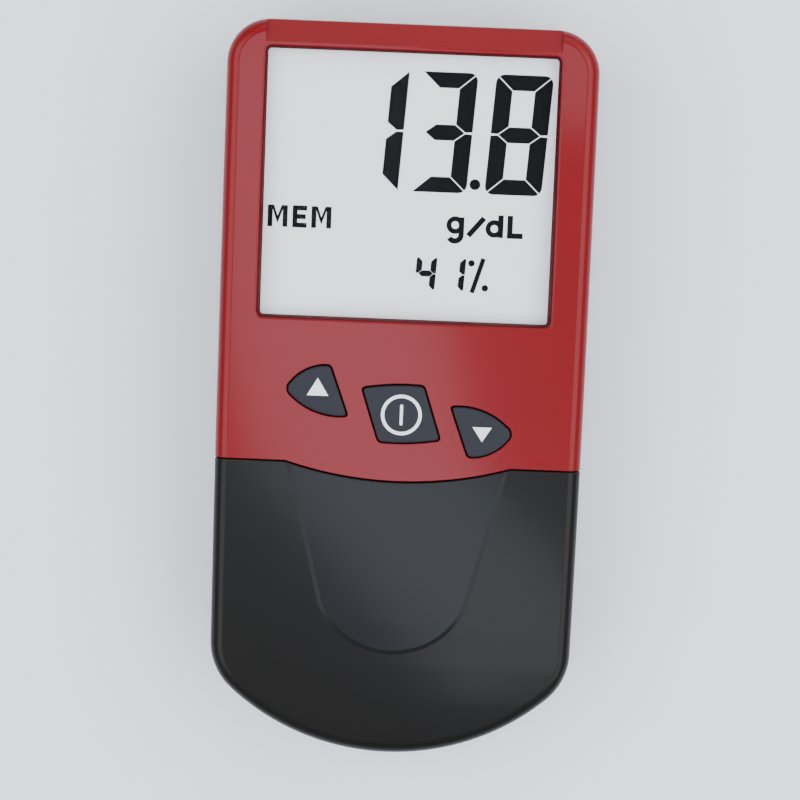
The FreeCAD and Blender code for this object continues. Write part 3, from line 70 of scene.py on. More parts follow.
def pick(piece, kind, wanted):
    """In edit mode, select the corners, edges or faces that pass a test."""
    bpy.ops.mesh.select_mode(type=kind)
    bpy.ops.mesh.select_all(action="DESELECT")
    shape = bmesh.from_edit_mesh(piece.data)
    for item in {"VERT": shape.verts, "EDGE": shape.edges, "FACE": shape.faces}[kind]:
        if wanted(item):
            item.select_set(True)
    shape.select_flush_mode()
    bmesh.update_edit_mesh(piece.data)


def pick_rim(piece, level, way=1):
    """Select the edges that lie at the top level of a piece, or with way -1 at the bottom level."""
    limit = (level - 0.01 * way) * MM
    pick(piece, "EDGE", lambda edge: all(way * corner.co.z > way * limit for corner in edge.verts))


def middle_of(edge):
    """The middle of an edge, in metres."""
    return (edge.verts[0].co + edge.verts[1].co) / 2


def edit(piece):
    """Open one piece in edit mode with all of it selected."""
    work_on(piece)
    bpy.ops.object.mode_set(mode="EDIT")
    bpy.ops.mesh.select_all(action="SELECT")


def leave():
    """Back to object mode, with the faces turned outwards."""
    bpy.ops.mesh.select_all(action="SELECT")
    bpy.ops.mesh.normals_make_consistent(inside=False)
    bpy.ops.mesh.select_all(action="DESELECT")
    bpy.ops.object.mode_set(mode="OBJECT")


# %% Helpers: outlines, plates and blocks
def arc(x, y, radius, start, end, steps):
    """Points along an arc round (x, y), with angles in degrees."""
    turns = [math.radians(start + (end - start) * step / steps) for step in range(steps + 1)]
    return [(x + radius * math.cos(turn), y + radius * math.sin(turn)) for turn in turns]


def bow(start, end, radius, steps=10):
    """Points from start to end on an arc that bulges to the right of the way it goes."""
    (x0, y0), (x1, y1) = start, end
    chord = math.hypot(x1 - x0, y1 - y0)
    reach = math.sqrt(max(radius ** 2 - chord ** 2 / 4, 0))
    x = (x0 + x1) / 2 - (y1 - y0) / chord * reach
    y = (y0 + y1) / 2 + (x1 - x0) / chord * reach
    first = math.degrees(math.atan2(y0 - y, x0 - x))
    last = math.degrees(math.atan2(y1 - y, x1 - x))
    return arc(x, y, radius, first, last + (360 if last < first else 0), steps)


def rectangle(x0, x1, y0, y1, radius=0.0, steps=5):
    """A rectangle, with round corners where a radius is given."""
    if not radius:
        return [(x1, y0), (x1, y1), (x0, y1), (x0, y0)]
    return (arc(x1 - radius, y0 + radius, radius, -90, 0, steps)
            + arc(x1 - radius, y1 - radius, radius, 0, 90, steps)
            + arc(x0 + radius, y1 - radius, radius, 90, 180, steps)
            + arc(x0 + radius, y0 + radius, radius, 180, 270, steps))


def grow(points, distance):
    """An outline moved outwards by a distance, corner by corner."""
    count = len(points)
    sides = []
    for index in range(count):
        (x0, y0), (x1, y1) = points[index], points[(index + 1) % count]
        length = math.hypot(x1 - x0, y1 - y0)
        sides.append(((y1 - y0) / length, (x0 - x1) / length))
    moved = []
    for index, (x, y) in enumerate(points):
        (ax, ay), (bx, by) = sides[index - 1], sides[index]
        share = distance / (1 + ax * bx + ay * by)
        moved.append((x + (ax + bx) * share, y + (ay + by) * share))
    return moved


SHARP_TURN = 25


def soft_corners(points, reach, steps=6):
    """Round the sharp corners of an outline, starting reach millimetres before and after each."""
    count = len(points)

    def walk(index, way):
        """The point at reach from a corner, and how many corners the walk passes."""
        left, place, passed = reach, Vector(points[index]), 0
        while True:
            aim = Vector(points[(index + way * (passed + 1)) % count])
            length = (aim - place).length
            if length > left:
                return place + (aim - place) * left / length, passed
            left, place, passed = left - length, aim, passed + 1

    turns = []
    for index in range(count):
        before = Vector(points[index]) - Vector(points[index - 1])
        after = Vector(points[(index + 1) % count]) - Vector(points[index])
        turns.append(abs(before.angle_signed(after)) > math.radians(SHARP_TURN))
    near = set()
    rounds = {}
    for index in [number for number in range(count) if turns[number]]:
        (start, back), (end, on) = walk(index, -1), walk(index, 1)
        corner = Vector(points[index])
        rounds[index] = []
        for share in [step / steps for step in range(steps + 1)]:
            spot = start * (1 - share) ** 2 + corner * 2 * share * (1 - share) + end * share ** 2
            rounds[index].append(tuple(spot))
        near.update((index + step) % count for step in range(-back, on + 1))
    made = []
    for index, point in enumerate(points):
        if index in rounds:
            made += rounds[index]
        elif index not in near:
            made.append(point)
    return made


def plate(name, points, z):
    """A flat face through points, in millimetres, at height z."""
    bpy.ops.object.select_all(action="DESELECT")
    bpy.ops.mesh.primitive_circle_add(vertices=len(points), radius=0.03, fill_type="NGON")
    piece = bpy.context.object
    piece.name = piece.data.name = name
    for corner, (x, y) in zip(piece.data.vertices, points):
        corner.co = (x * MM, y * MM, z * MM)
    return piece


def block(name, points, low, high):
    """A straight solid on an outline, between two heights."""
    piece = plate(name, points, low)
    edit(piece)
    bpy.ops.mesh.extrude_region_move(TRANSFORM_OT_translate={"value": (0, 0, (high - low) * MM)})
    leave()
    return piece


# %% Helpers: cut, join and give a wall
def combine(piece, tool, way="DIFFERENCE", keep=False):
    """Cut a piece with a tool, join them, or keep what they share."""
    work_on(piece)
    step = piece.modifiers.new("combine", "BOOLEAN")
    step.operation = way
    step.object = tool
    step.solver = "EXACT"
    bpy.ops.object.modifier_apply(modifier=step.name)
    if not keep:
        bpy.data.objects.remove(tool, do_unlink=True)
    return piece


def cut_all(piece, cuts):
    """Cut a piece with straight blocks, each given by its outline and its two heights."""
    for name, (points, low, high) in cuts.items():
        combine(piece, block(name, points, low, high))


def cut_rows(rows):
    """Cut the open piece across its length, which gives it a row of corners at each y."""
    for row in rows:
        bpy.ops.mesh.select_all(action="SELECT")
        bpy.ops.mesh.bisect(plane_co=(0, row * MM, 0), plane_no=(0, 1, 0))


def hollow(piece, wall):
    """Give an open skin a wall on its inner side."""
    work_on(piece)
    step = piece.modifiers.new("wall", "SOLIDIFY")
    step.thickness = wall * MM
    step.offset = -1
    step.use_even_offset = True
    bpy.ops.object.modifier_apply(modifier=step.name)


def tidy(piece, distance=0.02):
    """Merge corners that lie almost on each other after a cut."""
    edit(piece)
    bpy.ops.mesh.remove_doubles(threshold=distance * MM)
    bpy.ops.mesh.dissolve_degenerate(threshold=distance * MM / 4)
    leave()


# %% Helpers: round and shade
FLAT_WEIGHT, CREASE_ANGLE, ROUND_ANGLE = 80, 9, 40


def bevel(width, steps):
    """Round the selected edges of the open piece."""
    bpy.ops.mesh.bevel(offset=width * MM, segments=steps, profile=0.5, affect="EDGES",
                       clamp_overlap=False)


def smooth(piece, angle):
    """Shade a piece smoothly wherever its faces meet at less than an angle."""
    work_on(piece)
    bpy.ops.object.shade_smooth_by_angle(angle=math.radians(angle))
    return piece


def shade(piece, angle, crease=None):
    """Smooth rounds between truly flat faces, with sharp lines where the crease test says so."""
    smooth(piece, angle)
    if crease:
        edit(piece)
        pick(piece, "EDGE", lambda edge: edge.calc_face_angle(0) > math.radians(CREASE_ANGLE)
             and crease(middle_of(edge) / MM))
        bpy.ops.mesh.mark_sharp()
        leave()
    shading = piece.modifiers.new("flat_faces", "WEIGHTED_NORMAL")
    shading.weight = FLAT_WEIGHT
    shading.keep_sharp = True
    bpy.ops.object.modifier_apply(modifier=shading.name)
    return piece


def soften(piece, width, skin=None, steps=3, angle=35, keep_off=None, near=0.04):
    """Round the sharp edges, only those on a skin if one is given, and shade the piece."""
    def sharp(edge):
        middle = middle_of(edge)
        if edge.calc_face_angle(0) < math.radians(angle) or (keep_off and keep_off(middle / MM)):
            return False
        return skin is None or (skin.closest_point_on_mesh(middle)[1] - middle).length < near * MM
    edit(piece)
    pick(piece, "EDGE", sharp)
    bevel(width, steps)
    leave()
    return shade(piece, ROUND_ANGLE, keep_off)


def follow(piece, guide, keep_off, reach=0.03):
    """Take over the shading of a clean guide wherever the piece lies on its surface."""
    skin = piece.vertex_groups.new(name="skin")
    skin.add([spot.index for spot in piece.data.vertices if not keep_off(spot.co / MM)], 1.0, "REPLACE")
    work_on(piece)
    shading = piece.modifiers.new("skin_shading", "DATA_TRANSFER")
    shading.object = guide
    shading.vertex_group = skin.name
    shading.use_loop_data = True
    shading.data_types_loops = {"CUSTOM_NORMAL"}
    shading.loop_mapping = "POLYINTERP_NEAREST"
    shading.use_max_distance = True
    shading.max_distance = reach * MM
    bpy.ops.object.modifier_apply(modifier=shading.name)
    piece.vertex_groups.clear()


# %% Helpers: copy and merge
def copy_of(piece, name):
    """A copy with its own mesh."""
    twin = piece.copy()
    twin.data = piece.data.copy()
    twin.name = twin.data.name = name
    bpy.context.scene.collection.objects.link(twin)
    return twin


def merge(pieces, name):
    """Several pieces as one."""
    bpy.ops.object.select_all(action="DESELECT")
    for piece in pieces:
        piece.select_set(True)
    bpy.context.view_layer.objects.active = pieces[0]
    bpy.ops.object.join()
    pieces[0].name = pieces[0].data.name = name
    return pieces[0]


def repeat(first, places, name):
    """A piece that stands at the first place, copied to the other places, all joined as one."""
    made = [first]
    first_x, first_y = places[0]
    for number, (x, y) in enumerate(places[1:], start=2):
        twin = copy_of(first, f"{name}_{number}")
        twin.data.transform(Matrix.Translation(((x - first_x) * MM, (y - first_y) * MM, 0)))
        made.append(twin)
    return merge(made, name)


print("helpers ready")

# %% [markdown]
# The body is one outline for all its shells: straight sides, round upper corners, and a lower end
# that is a big arc with two soft shoulders. The front is crowned along its length, highest just
# below the display. Two short functions hold that form, and every later piece asks them.

# %% The outline and the crown of the body
SIDE, TOP, LOW = 32.5, 65.5, -65.5
CORNER, SHOULDER, END_ARC = 7.7, 12.0, 42.2
HEIGHT, PEAK_Y = 25.0, 10.0
LOW_CROWN, HIGH_CROWN = 570.0, 1540.0


def body_outline(inset=0.0):
    """The outline of the body, moved inwards by inset."""
    shoulder_x = SIDE - SHOULDER
    end_y = LOW + END_ARC
    rise = math.sqrt((END_ARC - SHOULDER) ** 2 - shoulder_x ** 2)
    lean = math.degrees(math.atan2(rise, shoulder_x))
    corner_x, corner_y = SIDE - CORNER, TOP - CORNER
    return (arc(corner_x, corner_y, CORNER - inset, 0, 90, 18)
            + arc(-corner_x, corner_y, CORNER - inset, 90, 180, 18)
            + arc(-shoulder_x, end_y - rise, SHOULDER - inset, 180, 180 + lean, 14)
            + arc(0, end_y, END_ARC - inset, 180 + lean, 360 - lean, 48)[1:-1]
            + arc(shoulder_x, end_y - rise, SHOULDER - inset, 360 - lean, 360, 14))


def crown(y):
    """Height of the front face at y."""
    radius = LOW_CROWN if y < PEAK_Y else HIGH_CROWN
    return HEIGHT - radius + math.sqrt(radius ** 2 - (y - PEAK_Y) ** 2)


print("outline corners:", len(body_outline()))
print("front face at the two ends:", round(crown(LOW), 2), round(crown(TOP), 2))

# %% [markdown]
# The front of the real meter is two thin mouldings that meet flush. The skin is made as one solid and
# split later, because two shells drawn apart would meet with a step. The outline is extruded, its upper
# rim gets a round bevel, and cuts across the length give the flat top enough rows of corners to follow
# the crown. Two clean copies are kept, to shade the skin and to find its edges later.

# %% Front skin: extrude, round the rim, crown it and give it a wall
FRONT_LOW, FRONT_RIM, WALL = 11.65, 2.4, 1.8
ROWS = [-61, -55, -48.5, -41, -35, -29, -23, -17, -6.3, 0.6, 8.6, 17, 25, 33, 41, 49, 56]
front = block("front_skin", body_outline(), FRONT_LOW, HEIGHT)
edit(front)
pick_rim(front, HEIGHT)
bevel(FRONT_RIM, 9)
cut_rows(ROWS)
leave()
for corner in front.data.vertices:
    if corner.co.z > (FRONT_LOW + 0.1) * MM:
        corner.co.z += (crown(corner.co.y / MM) - HEIGHT) * MM
front_guide = copy_of(front, "front_guide")
front_solid = copy_of(front, "front_solid")
edit(front)
pick(front, "FACE", lambda face: face.normal.z < -0.9)
bpy.ops.mesh.delete(type="FACE")
leave()
hollow(front, WALL)
print("front skin faces:", len(front.data.polygons))

# %% [markdown]
# The window is a recess with steep walls that open a little towards the eye, down to the clear lens.
# A pad inside the skin carries the lens. Above the window a band as wide as the window slopes down
# to the upper end, like a facet cut into the crowned face. One block adds the pad, and the others cut.
# The two tools that aren't straight get their slant by moving some of their corners before the cut.

# %% Window, lens seat and sloping band
WINDOW = (-25.3, 25.3, 14.15, 60.4)
WINDOW_SPREAD, WINDOW_DEPTH, LENS_TOP = 0.4, 2.2, 22.8
FLARE = WINDOW_SPREAD / WINDOW_DEPTH
LENS_PAD, PAD_TOP = (-28.0, 28.0, 11.3, 64.4), 23.45
LENS_ROOM = (-27.15, 27.15, 12.3, 62.25)
TOOL_LOW, TOOL_HIGH = 20.8, 27.0
pad = block("lens_pad", rectangle(*LENS_PAD, 5.0, 8), LENS_TOP, PAD_TOP)
combine(front, pad, "UNION")
low_side = grow(rectangle(*WINDOW, 0.6), (TOOL_LOW - LENS_TOP) * FLARE)
high_side = grow(rectangle(*WINDOW, 0.6), (TOOL_HIGH - LENS_TOP) * FLARE)
window = block("window_tool", low_side, TOOL_LOW, TOOL_HIGH)
for corner in window.data.vertices:
    if corner.co.z > (TOOL_HIGH - 1) * MM:
        spot = min(range(len(low_side)), key=lambda index: math.dist(low_side[index], corner.co.xy / MM))
        corner.co.xy = Vector(high_side[spot]) * MM
combine(front, window)
BAND_START, BAND_SLOPE, BAND_HALF = 61.4, 0.415, 25.7
band = block("band_tool", rectangle(-BAND_HALF, BAND_HALF, BAND_START, 68), 22, 29)
for corner in band.data.vertices:
    if corner.co.z < HEIGHT * MM:
        corner.co.z = (crown(BAND_START) - BAND_SLOPE * (corner.co.y / MM - BAND_START)) * MM
combine(front, band, keep=True)
combine(front_solid, band)
combine(front, block("lens_room", rectangle(*LENS_ROOM), 20.5, LENS_TOP))
print("band ends at height", round(crown(BAND_START) - BAND_SLOPE * (TOP - BAND_START), 2))

# %% [markdown]
# The keys are two half leaves and a slanted middle key. The lower leaf is the upper one turned half
# a turn. Their outlines are arcs between a few corners, and they are needed twice: drawn in by a hair
# for the holes, and a bit more for the keys, so that the gap between them is even all round.

# %% Key outlines and key holes
KEY_X, KEY_Y = -0.1, -2.0
HOLE_INSET, KEY_INSET = 0.05, 0.28
HOLE_CORNER, KEY_CORNER = 0.8, 0.7


def leaf(sign):
    """A half-leaf key: 1 for the upper key on the left, -1 for the lower one on the right."""
    def place(x, y):
        return KEY_X - sign * x, KEY_Y + sign * y
    inner_low, inner_high = place(8.8, -1.35), place(12.25, 7.87)
    tip_high, tip_low = place(19.4, 4.7), place(19.2, 1.9)
    return ([inner_low] + bow(inner_high, tip_high, 8.3)[:-1]
            + bow(tip_high, tip_low, 1.75)[:-1] + bow(tip_low, inner_low, 12.3)[:-1])


def middle_key():
    """The slanted middle key, with its upper and lower edges slightly bowed."""
    x, y = KEY_X + 0.35, KEY_Y - 0.45
    half, tall, rise, run = 5.65, 4.9, 0.375, 1.65
    low = [(x - half + run, y - rise - tall), (x + half + run, y + rise - tall)]
    high = [(x + half - run, y + rise + tall), (x - half - run, y - rise + tall)]
    return bow(*low, 40.0) + bow(*high, 40.0)


KEYS = {"key_up": leaf(1), "key_power": middle_key(), "key_down": leaf(-1)}
for name, points in KEYS.items():
    combine(front, block(f"{name}_hole", soft_corners(grow(points, -HOLE_INSET), HOLE_CORNER), 20, 28))
print("key holes cut:", len(KEYS))

# %% [markdown]
# A slot in the right side lets in the lot chip, and an opening in the left side shows the data port.
# Along the lower rim a rebate takes up the lip of the back shell, which keeps dust out of a real
# clamshell. All three are plain straight cuts, so one helper makes them from a small table.

# %% Side slots and rebate
cut_all(front, {
    "chip_slot": (rectangle(29, 34, 36.85, 52.65), 13.0, 15.7),
    "port_hole": (rectangle(-34, -29, 41.9, 50.1, 1.2), 13.2, 16.6),
    "rebate": (body_outline(1.0), 10.0, 12.8),
})
tidy(front)
print("front skin faces:", len(front.data.polygons))

# %% [markdown]
# The seam between the shells is straight at the sides and dips in a shallow arc in the middle. One
# tool with that lower edge splits the skin: what it shares with the skin is the red shell, and what
# is left after a hair's breadth of gap is the black cover.

# %% Split the skin at the curved seam
SEAM_Y, SEAM_HALF, SEAM_DIP, SEAM_GAP = -11.5, 19.9, 3.0, 0.2
seam_radius = (SEAM_HALF ** 2 + SEAM_DIP ** 2) / (2 * SEAM_DIP)


def seam_tool(name, shift):
    """A block above the seam line, moved along the length by shift."""
    line = SEAM_Y + shift
    dip = bow((-SEAM_HALF, line), (SEAM_HALF, line), seam_radius, 40)
    return block(name, [(-40, line)] + dip + [(40, line), (40, 80), (-40, 80)], 5, 30)


red_shell = copy_of(front, "front_housing_shell")
combine(red_shell, seam_tool("seam_red", 0.0), "INTERSECT")
black_cover = front
combine(black_cover, seam_tool("seam_black", -SEAM_GAP))
black_cover.name = black_cover.data.name = "lower_cover_shell"
print("seam radius:", round(seam_radius, 1), " red faces:", len(red_shell.data.polygons))

# %% [markdown]
# The black cover carries a shield that stands out only two tenths of a millimetre, with a slope
# at its sides that catches a thin line of light. It is inset once for the slope, crowned like the
# front, and joined on.

# %% Raised shield on the black cover
SHIELD_RISE, SHIELD_SLOPE = 0.2, 1.0
SHIELD_HALF, WAIST_HALF, WAIST_Y, SHIELD_DROP = 20.5, 13.6, -37.0, 9.5
end_radius = (WAIST_HALF ** 2 + SHIELD_DROP ** 2) / (2 * SHIELD_DROP)
shield_low = bow((-WAIST_HALF, WAIST_Y), (WAIST_HALF, WAIST_Y), end_radius, 24)
shield = block("shield", shield_low + [(SHIELD_HALF, -9.0), (-SHIELD_HALF, -9.0)], 20.5, HEIGHT)
edit(shield)
cut_rows([row for row in ROWS if WAIST_Y - SHIELD_DROP < row < SEAM_Y])
pick(shield, "FACE", lambda face: face.normal.z > 0.9)
bpy.ops.mesh.inset(thickness=SHIELD_SLOPE * MM, depth=0)
leave()


def flat_place(corner):
    """The place of a corner seen from above, rounded so that two places can be compared."""
    return tuple(round(value, 7) for value in corner.co[:2])


foot_line = {flat_place(corner) for corner in shield.data.vertices if corner.co.z < 22 * MM}
for corner in shield.data.vertices:
    if corner.co.z > 24 * MM:
        lift = -0.06 if flat_place(corner) in foot_line else SHIELD_RISE
        corner.co.z = (crown(corner.co.y / MM) + lift) * MM
combine(shield, seam_tool("shield_seam", -SEAM_GAP))
combine(black_cover, shield, "UNION")
tidy(black_cover)
tidy(red_shell)
print("shield end radius:", round(end_radius, 1))

# %% [markdown]
# A moulding has no sharp edge. The window opening gets a wide round, and every other edge on the skin a
# fine one. The cuts have left long thin faces on the crowned skin, which would shade unevenly, so the
# skin takes over the shading of the clean copy that was kept before the cuts. Only the sloping band
# and the shield keep their own shading, inside sharp lines.

# %% Round the edges: a wide round at the window, a fine one everywhere else on the skin
WINDOW_ROUND, FINE_ROUND, RIM_CORNER = 0.5, 0.22, 1.0


def off_window(x, y):
    """How far a point lies outside the rounded outline of the window at the front face."""
    left, right, low, high = WINDOW
    out_x = abs(x) - (right - left) / 2 - WINDOW_SPREAD + RIM_CORNER
    out_y = abs(y - (low + high) / 2) - (high - low) / 2 - WINDOW_SPREAD + RIM_CORNER
    return math.hypot(max(out_x, 0), max(out_y, 0)) + min(max(out_x, out_y), 0) - RIM_CORNER


def on_window_rim(edge):
    """True for the sharp upper edges of the window opening."""
    middle = middle_of(edge) / MM
    sharp = edge.calc_face_angle(0) > math.radians(35)
    return sharp and middle.z > 24 and abs(off_window(*middle.xy)) < 0.25


edit(red_shell)
pick(red_shell, "EDGE", on_window_rim)
bevel(WINDOW_ROUND, 4)
leave()


def on_band(spot):
    """True for places on the sloping band above the window."""
    return abs(spot.x) < BAND_HALF + 0.1 and spot.y > BAND_START - 0.05 and spot.z > 22.35


def near_shield(spot):
    """True for places in the field that holds the shield."""
    return abs(spot.x) < 21.2 and spot.y > -48


def on_shield(spot):
    """True for places on the raised shield, away from the seam."""
    seam = SEAM_Y - SEAM_DIP * (1 - (spot.x / SEAM_HALF) ** 2)
    inside_line = abs(spot.x) < SHIELD_HALF + 0.3 and spot.y < seam - 0.8
    return near_shield(spot) and inside_line and spot.z > crown(spot.y) - 0.1


shade(front_guide, 15)
soften(red_shell, FINE_ROUND, front_solid, keep_off=on_band)
follow(red_shell, front_guide, on_band)
soften(black_cover, FINE_ROUND, front_solid, keep_off=on_shield, near=0.23)
follow(black_cover, front_guide, near_shield)
print("black faces:", len(black_cover.data.polygons), " red faces:", len(red_shell.data.polygons))

# %% [markdown]
# The back shell is a tray with the same outline and a bigger round at the bottom rim. Its outside is
# modelled anew. Its inside, with the battery tub, the tray guides and the posts, is right in the
# measured solid, so a copy of that solid is merged and trimmed to fit inside the new wall.

# %% Back shell: outside
BACK_LOW, BACK_HIGH, BACK_RIM = 0.6, 11.35, 4.0
back = block("rear_housing_shell", body_outline(), BACK_LOW, BACK_HIGH)
edit(back)
pick_rim(back, BACK_LOW, -1)
bevel(BACK_RIM, 10)
leave()
back_solid = copy_of(back, "back_solid")
edit(back)
pick(back, "FACE", lambda face: face.normal.z > 0.9)
bpy.ops.mesh.delete(type="FACE")
leave()
hollow(back, WALL)
print("back shell faces:", len(back.data.polygons))

# %% Back shell: openings
HAIR = 0.04
SCREWS = [(27.2, 4.0), (-27.2, 4.0), (26.0, -42.5), (-26.0, -42.5)]
SLOT_X, SLOT_Y, SLOT_STEP = -24.5, -20.0, 2.2
SLOT_HALF, SCREW_HOLE = 3, 2.45
DOOR_HOLE, DOOR_HOLE_START = 17.6, 11.05
CAP_HOLE, CAP_HOLE_START, CAP_HOLE_HIGH = 18.85, 63.15, 7.75
MOUTH, MOUTH_LOW, MOUTH_HIGH, FINGER, FINGER_DEEP = 12.15, 4.65, 10.35, 14, 1.2
BELOW = -1
door_hole = rectangle(-DOOR_HOLE - HAIR, DOOR_HOLE + HAIR, DOOR_HOLE_START, 70)
cap_hole = rectangle(-CAP_HOLE - HAIR, CAP_HOLE + HAIR, CAP_HOLE_START, 70)
mouth = rectangle(-MOUTH - HAIR, MOUTH + HAIR, -70, -58)
cut_all(back, {
    "door_hole": (door_hole, BELOW, 4),
    "cap_hole": (cap_hole, BELOW, CAP_HOLE_HIGH + HAIR),
    "mouth": (mouth, MOUTH_LOW - HAIR, MOUTH_HIGH + HAIR),
    "finger": (arc(0, LOW + FINGER_DEEP - FINGER, FINGER, 0, 360, 72)[:-1], BELOW, 6),
})
for x, y in SCREWS:
    combine(back, block("recess", arc(x, y, SCREW_HOLE, 0, 360, 40)[:-1], BELOW, 5))
for number in (-1, 0, 1):
    y = SLOT_Y + number * SLOT_STEP
    slot = rectangle(SLOT_X - SLOT_HALF, SLOT_X + SLOT_HALF, y - 0.5, y + 0.5, 0.45, 4)
    combine(back, block("slot", slot, BELOW, 5))
tidy(back)
soften(back, FINE_ROUND, back_solid)
print("openings in the back:", 4 + len(SCREWS) + 3)

# %% Back shell: inside
inside = copy_of(nodes["rear_housing"], "rear_housing_inside")
inside.parent = None
edit(inside)
bpy.ops.mesh.remove_doubles(threshold=0.002 * MM)
leave()
limit = block("inside_limit", body_outline(1.5), 2.1, 18)
combine(inside, limit, "INTERSECT")
smooth(inside, 30)
print("inside faces:", len(inside.data.polygons))

# %% [markdown]
# The battery door is a plate with a cap that closes the upper end, and with a tongue at each side that
# slides in a rail. It is cut from the same solid as the back shell, so its round rim runs on without a
# step. Six short grooves give the thumb a grip.

# %% Battery door
DOOR_HALF, DOOR_START, DOOR_HIGH = 17.45, 11.2, 2.6
TONGUE_END, TONGUE_LOW, TONGUE_HIGH = 64.5, 1.55, 2.65
CAP_HALF, CAP_START, CAP_HIGH = 18.7, 63.3, 7.6
GRIP_HALF, GRIP_START, GRIP_STEP, GRIP_DEEP = 6.5, 5.6, 1.8, 0.95
door = block("battery_door_piece", rectangle(-DOOR_HALF, DOOR_HALF, DOOR_START, 70), BELOW, DOOR_HIGH)
tongue_line = rectangle(-CAP_HALF, CAP_HALF, DOOR_START, TONGUE_END)
tongues = block("tongues", tongue_line, TONGUE_LOW, TONGUE_HIGH)
cap = block("cap", rectangle(-CAP_HALF, CAP_HALF, CAP_START, 70), BELOW, CAP_HIGH)
combine(door, tongues, "UNION")
combine(door, cap, "UNION")
combine(door, back_solid, "INTERSECT", keep=True)
for number in range(6):
    y = TOP - GRIP_START - (number + 1) * GRIP_STEP
    groove = rectangle(-GRIP_HALF, GRIP_HALF, y - 0.4, y + 0.4, 0.3, 3)
    combine(door, block("groove", groove, BELOW, GRIP_DEEP))
tidy(door)
soften(door, 0.18)
print("door faces:", len(door.data.polygons))

# %% [markdown]
# The keys are soft moulded rubber. Each is extruded from its outline and gets a soft rim. Its top face
# is then extruded in place and drawn together a little, which raises a low pillow without crossing
# edges in the corners. The tops stay flat and lean as the crowned front does at the keys.

# %% Three rubber keys
KEY_LOW, KEY_PROUD, KEY_ROUND = 19.4, 0.4, 0.28
PILLOW, PILLOW_SHARE = 0.1, 0.82
KEY_LEAN = (crown(KEY_Y + 4) - crown(KEY_Y - 4)) / 8


def key_top(y):
    """Height of the flat key tops at y, without the pillow."""
    return crown(KEY_Y) + KEY_LEAN * (y - KEY_Y) + KEY_PROUD


keys = {}
for name, points in KEYS.items():
    key = block(f"{name}_piece", soft_corners(grow(points, -KEY_INSET), KEY_CORNER), KEY_LOW, HEIGHT)
    edit(key)
    pick_rim(key, HEIGHT)
    bevel(KEY_ROUND, 4)
    top = (HEIGHT - 0.01) * MM
    pick(key, "FACE", lambda face: face.normal.z > 0.99 and face.calc_center_median().z > top)
    middle = [sum(spot) / len(points) * MM for spot in zip(*points)]
    bpy.ops.mesh.extrude_region_move(TRANSFORM_OT_translate={"value": (0, 0, PILLOW * MM)})
    bpy.ops.transform.resize(value=(PILLOW_SHARE, PILLOW_SHARE, 1),
                             center_override=(*middle, HEIGHT * MM))
    leave()
    for corner in key.data.vertices:
        if corner.co.z > 23 * MM:
            corner.co.z += (key_top(corner.co.y / MM) - HEIGHT) * MM
    keys[name] = shade(key, 180)
print("keys:", sorted(keys))

# %% [markdown]
# The signs on real keys are printed or moulded in. As thin flat inlays that stand three hundredths of a
# millimetre above the pillow they stay crisp, and they go down with their key.

# %% Signs on the keys: two triangles, and a ring with a bar
SIGN_LIFT, SIGN_DEEP = 0.03, 0.15


def on_key(piece):
    """Lay a flat sign on the pillow of a key, as an inlay of some depth."""
    edit(piece)
    bpy.ops.mesh.extrude_region_move(TRANSFORM_OT_translate={"value": (0, 0, SIGN_DEEP * MM)})
    leave()
    for corner in piece.data.vertices:
        corner.co.z += (key_top(corner.co.y / MM) + PILLOW + SIGN_LIFT - SIGN_DEEP) * MM
    return piece


sign_up = on_key(plate("sign_up", [(-16.45, 0.3), (-12.65, 0.3), (-14.6, 3.45)], 0))
sign_down = on_key(plate("sign_down", [(12.9, -4.2), (14.65, -6.8), (16.3, -4.2)], 0))
RING_X, RING_Y, RING, STROKE = 0.3, -2.55, 3.6, 0.6
BAR_WIDE, BAR_TALL = 0.26, 1.85
sign_power = plate("sign_power", arc(RING_X, RING_Y, RING, 0, 360, 64)[:-1], 0)
edit(sign_power)
bpy.ops.mesh.inset(thickness=STROKE * MM, depth=0)
bpy.ops.mesh.delete(type="FACE")
leave()
on_key(sign_power)
bar = rectangle(RING_X - BAR_WIDE, RING_X + BAR_WIDE, RING_Y - BAR_TALL, RING_Y + BAR_TALL, 0.25, 6)
merge([sign_power, on_key(plate("sign_bar", bar, 0))], "sign_power")
for sign in (sign_up, sign_down, sign_power):
    smooth(sign, 30)
print("signs:", sign_up.name, sign_power.name, sign_down.name)

# %% [markdown]
# The display shows a reading in dark segments behind the clear lens. Each digit has up to seven thin
# bars with mitred ends, cut round at the outer corners and leant over. The small words are drawn as by
# a pen of even width, which comes closer to the signs of a real display than a typeface does.

# %% Segment digits
INK_LOW, INK_HIGH = 21.31, 21.36
LEAN = math.tan(math.radians(3.6))


def bars(x0, x1, y0, y1, wide, tall, gap):
    """The seven bars of a digit as outlines, before they lean: a to g."""
    middle, half = (y0 + y1) / 2, tall / 2
    left = [(x0, middle + gap * 1.5), (x0 + wide * 0.42, middle + gap), (x0 + wide, middle + half + gap),
            (x0 + wide, y1 - tall - gap), (x0, y1 - gap)]
    right = [(x0 + x1 - x, y) for x, y in reversed(left)]
    top = [(x0 + gap, y1), (x0 + wide + gap, y1 - tall), (x1 - wide - gap, y1 - tall), (x1 - gap, y1)]
    tip = wide * 0.42 + gap
    centre = [(x0 + tip, middle), (x0 + wide + gap, middle - half), (x1 - wide - gap, middle - half),
              (x1 - tip, middle), (x1 - wide - gap, middle + half), (x0 + wide + gap, middle + half)]
    outlines = {"b": right, "f": left, "a": top, "g": centre}
    for low, high in (("c", right), ("e", left), ("d", top)):
        outlines[low] = [(x, y0 + y1 - y) for x, y in reversed(high)]
    return outlines


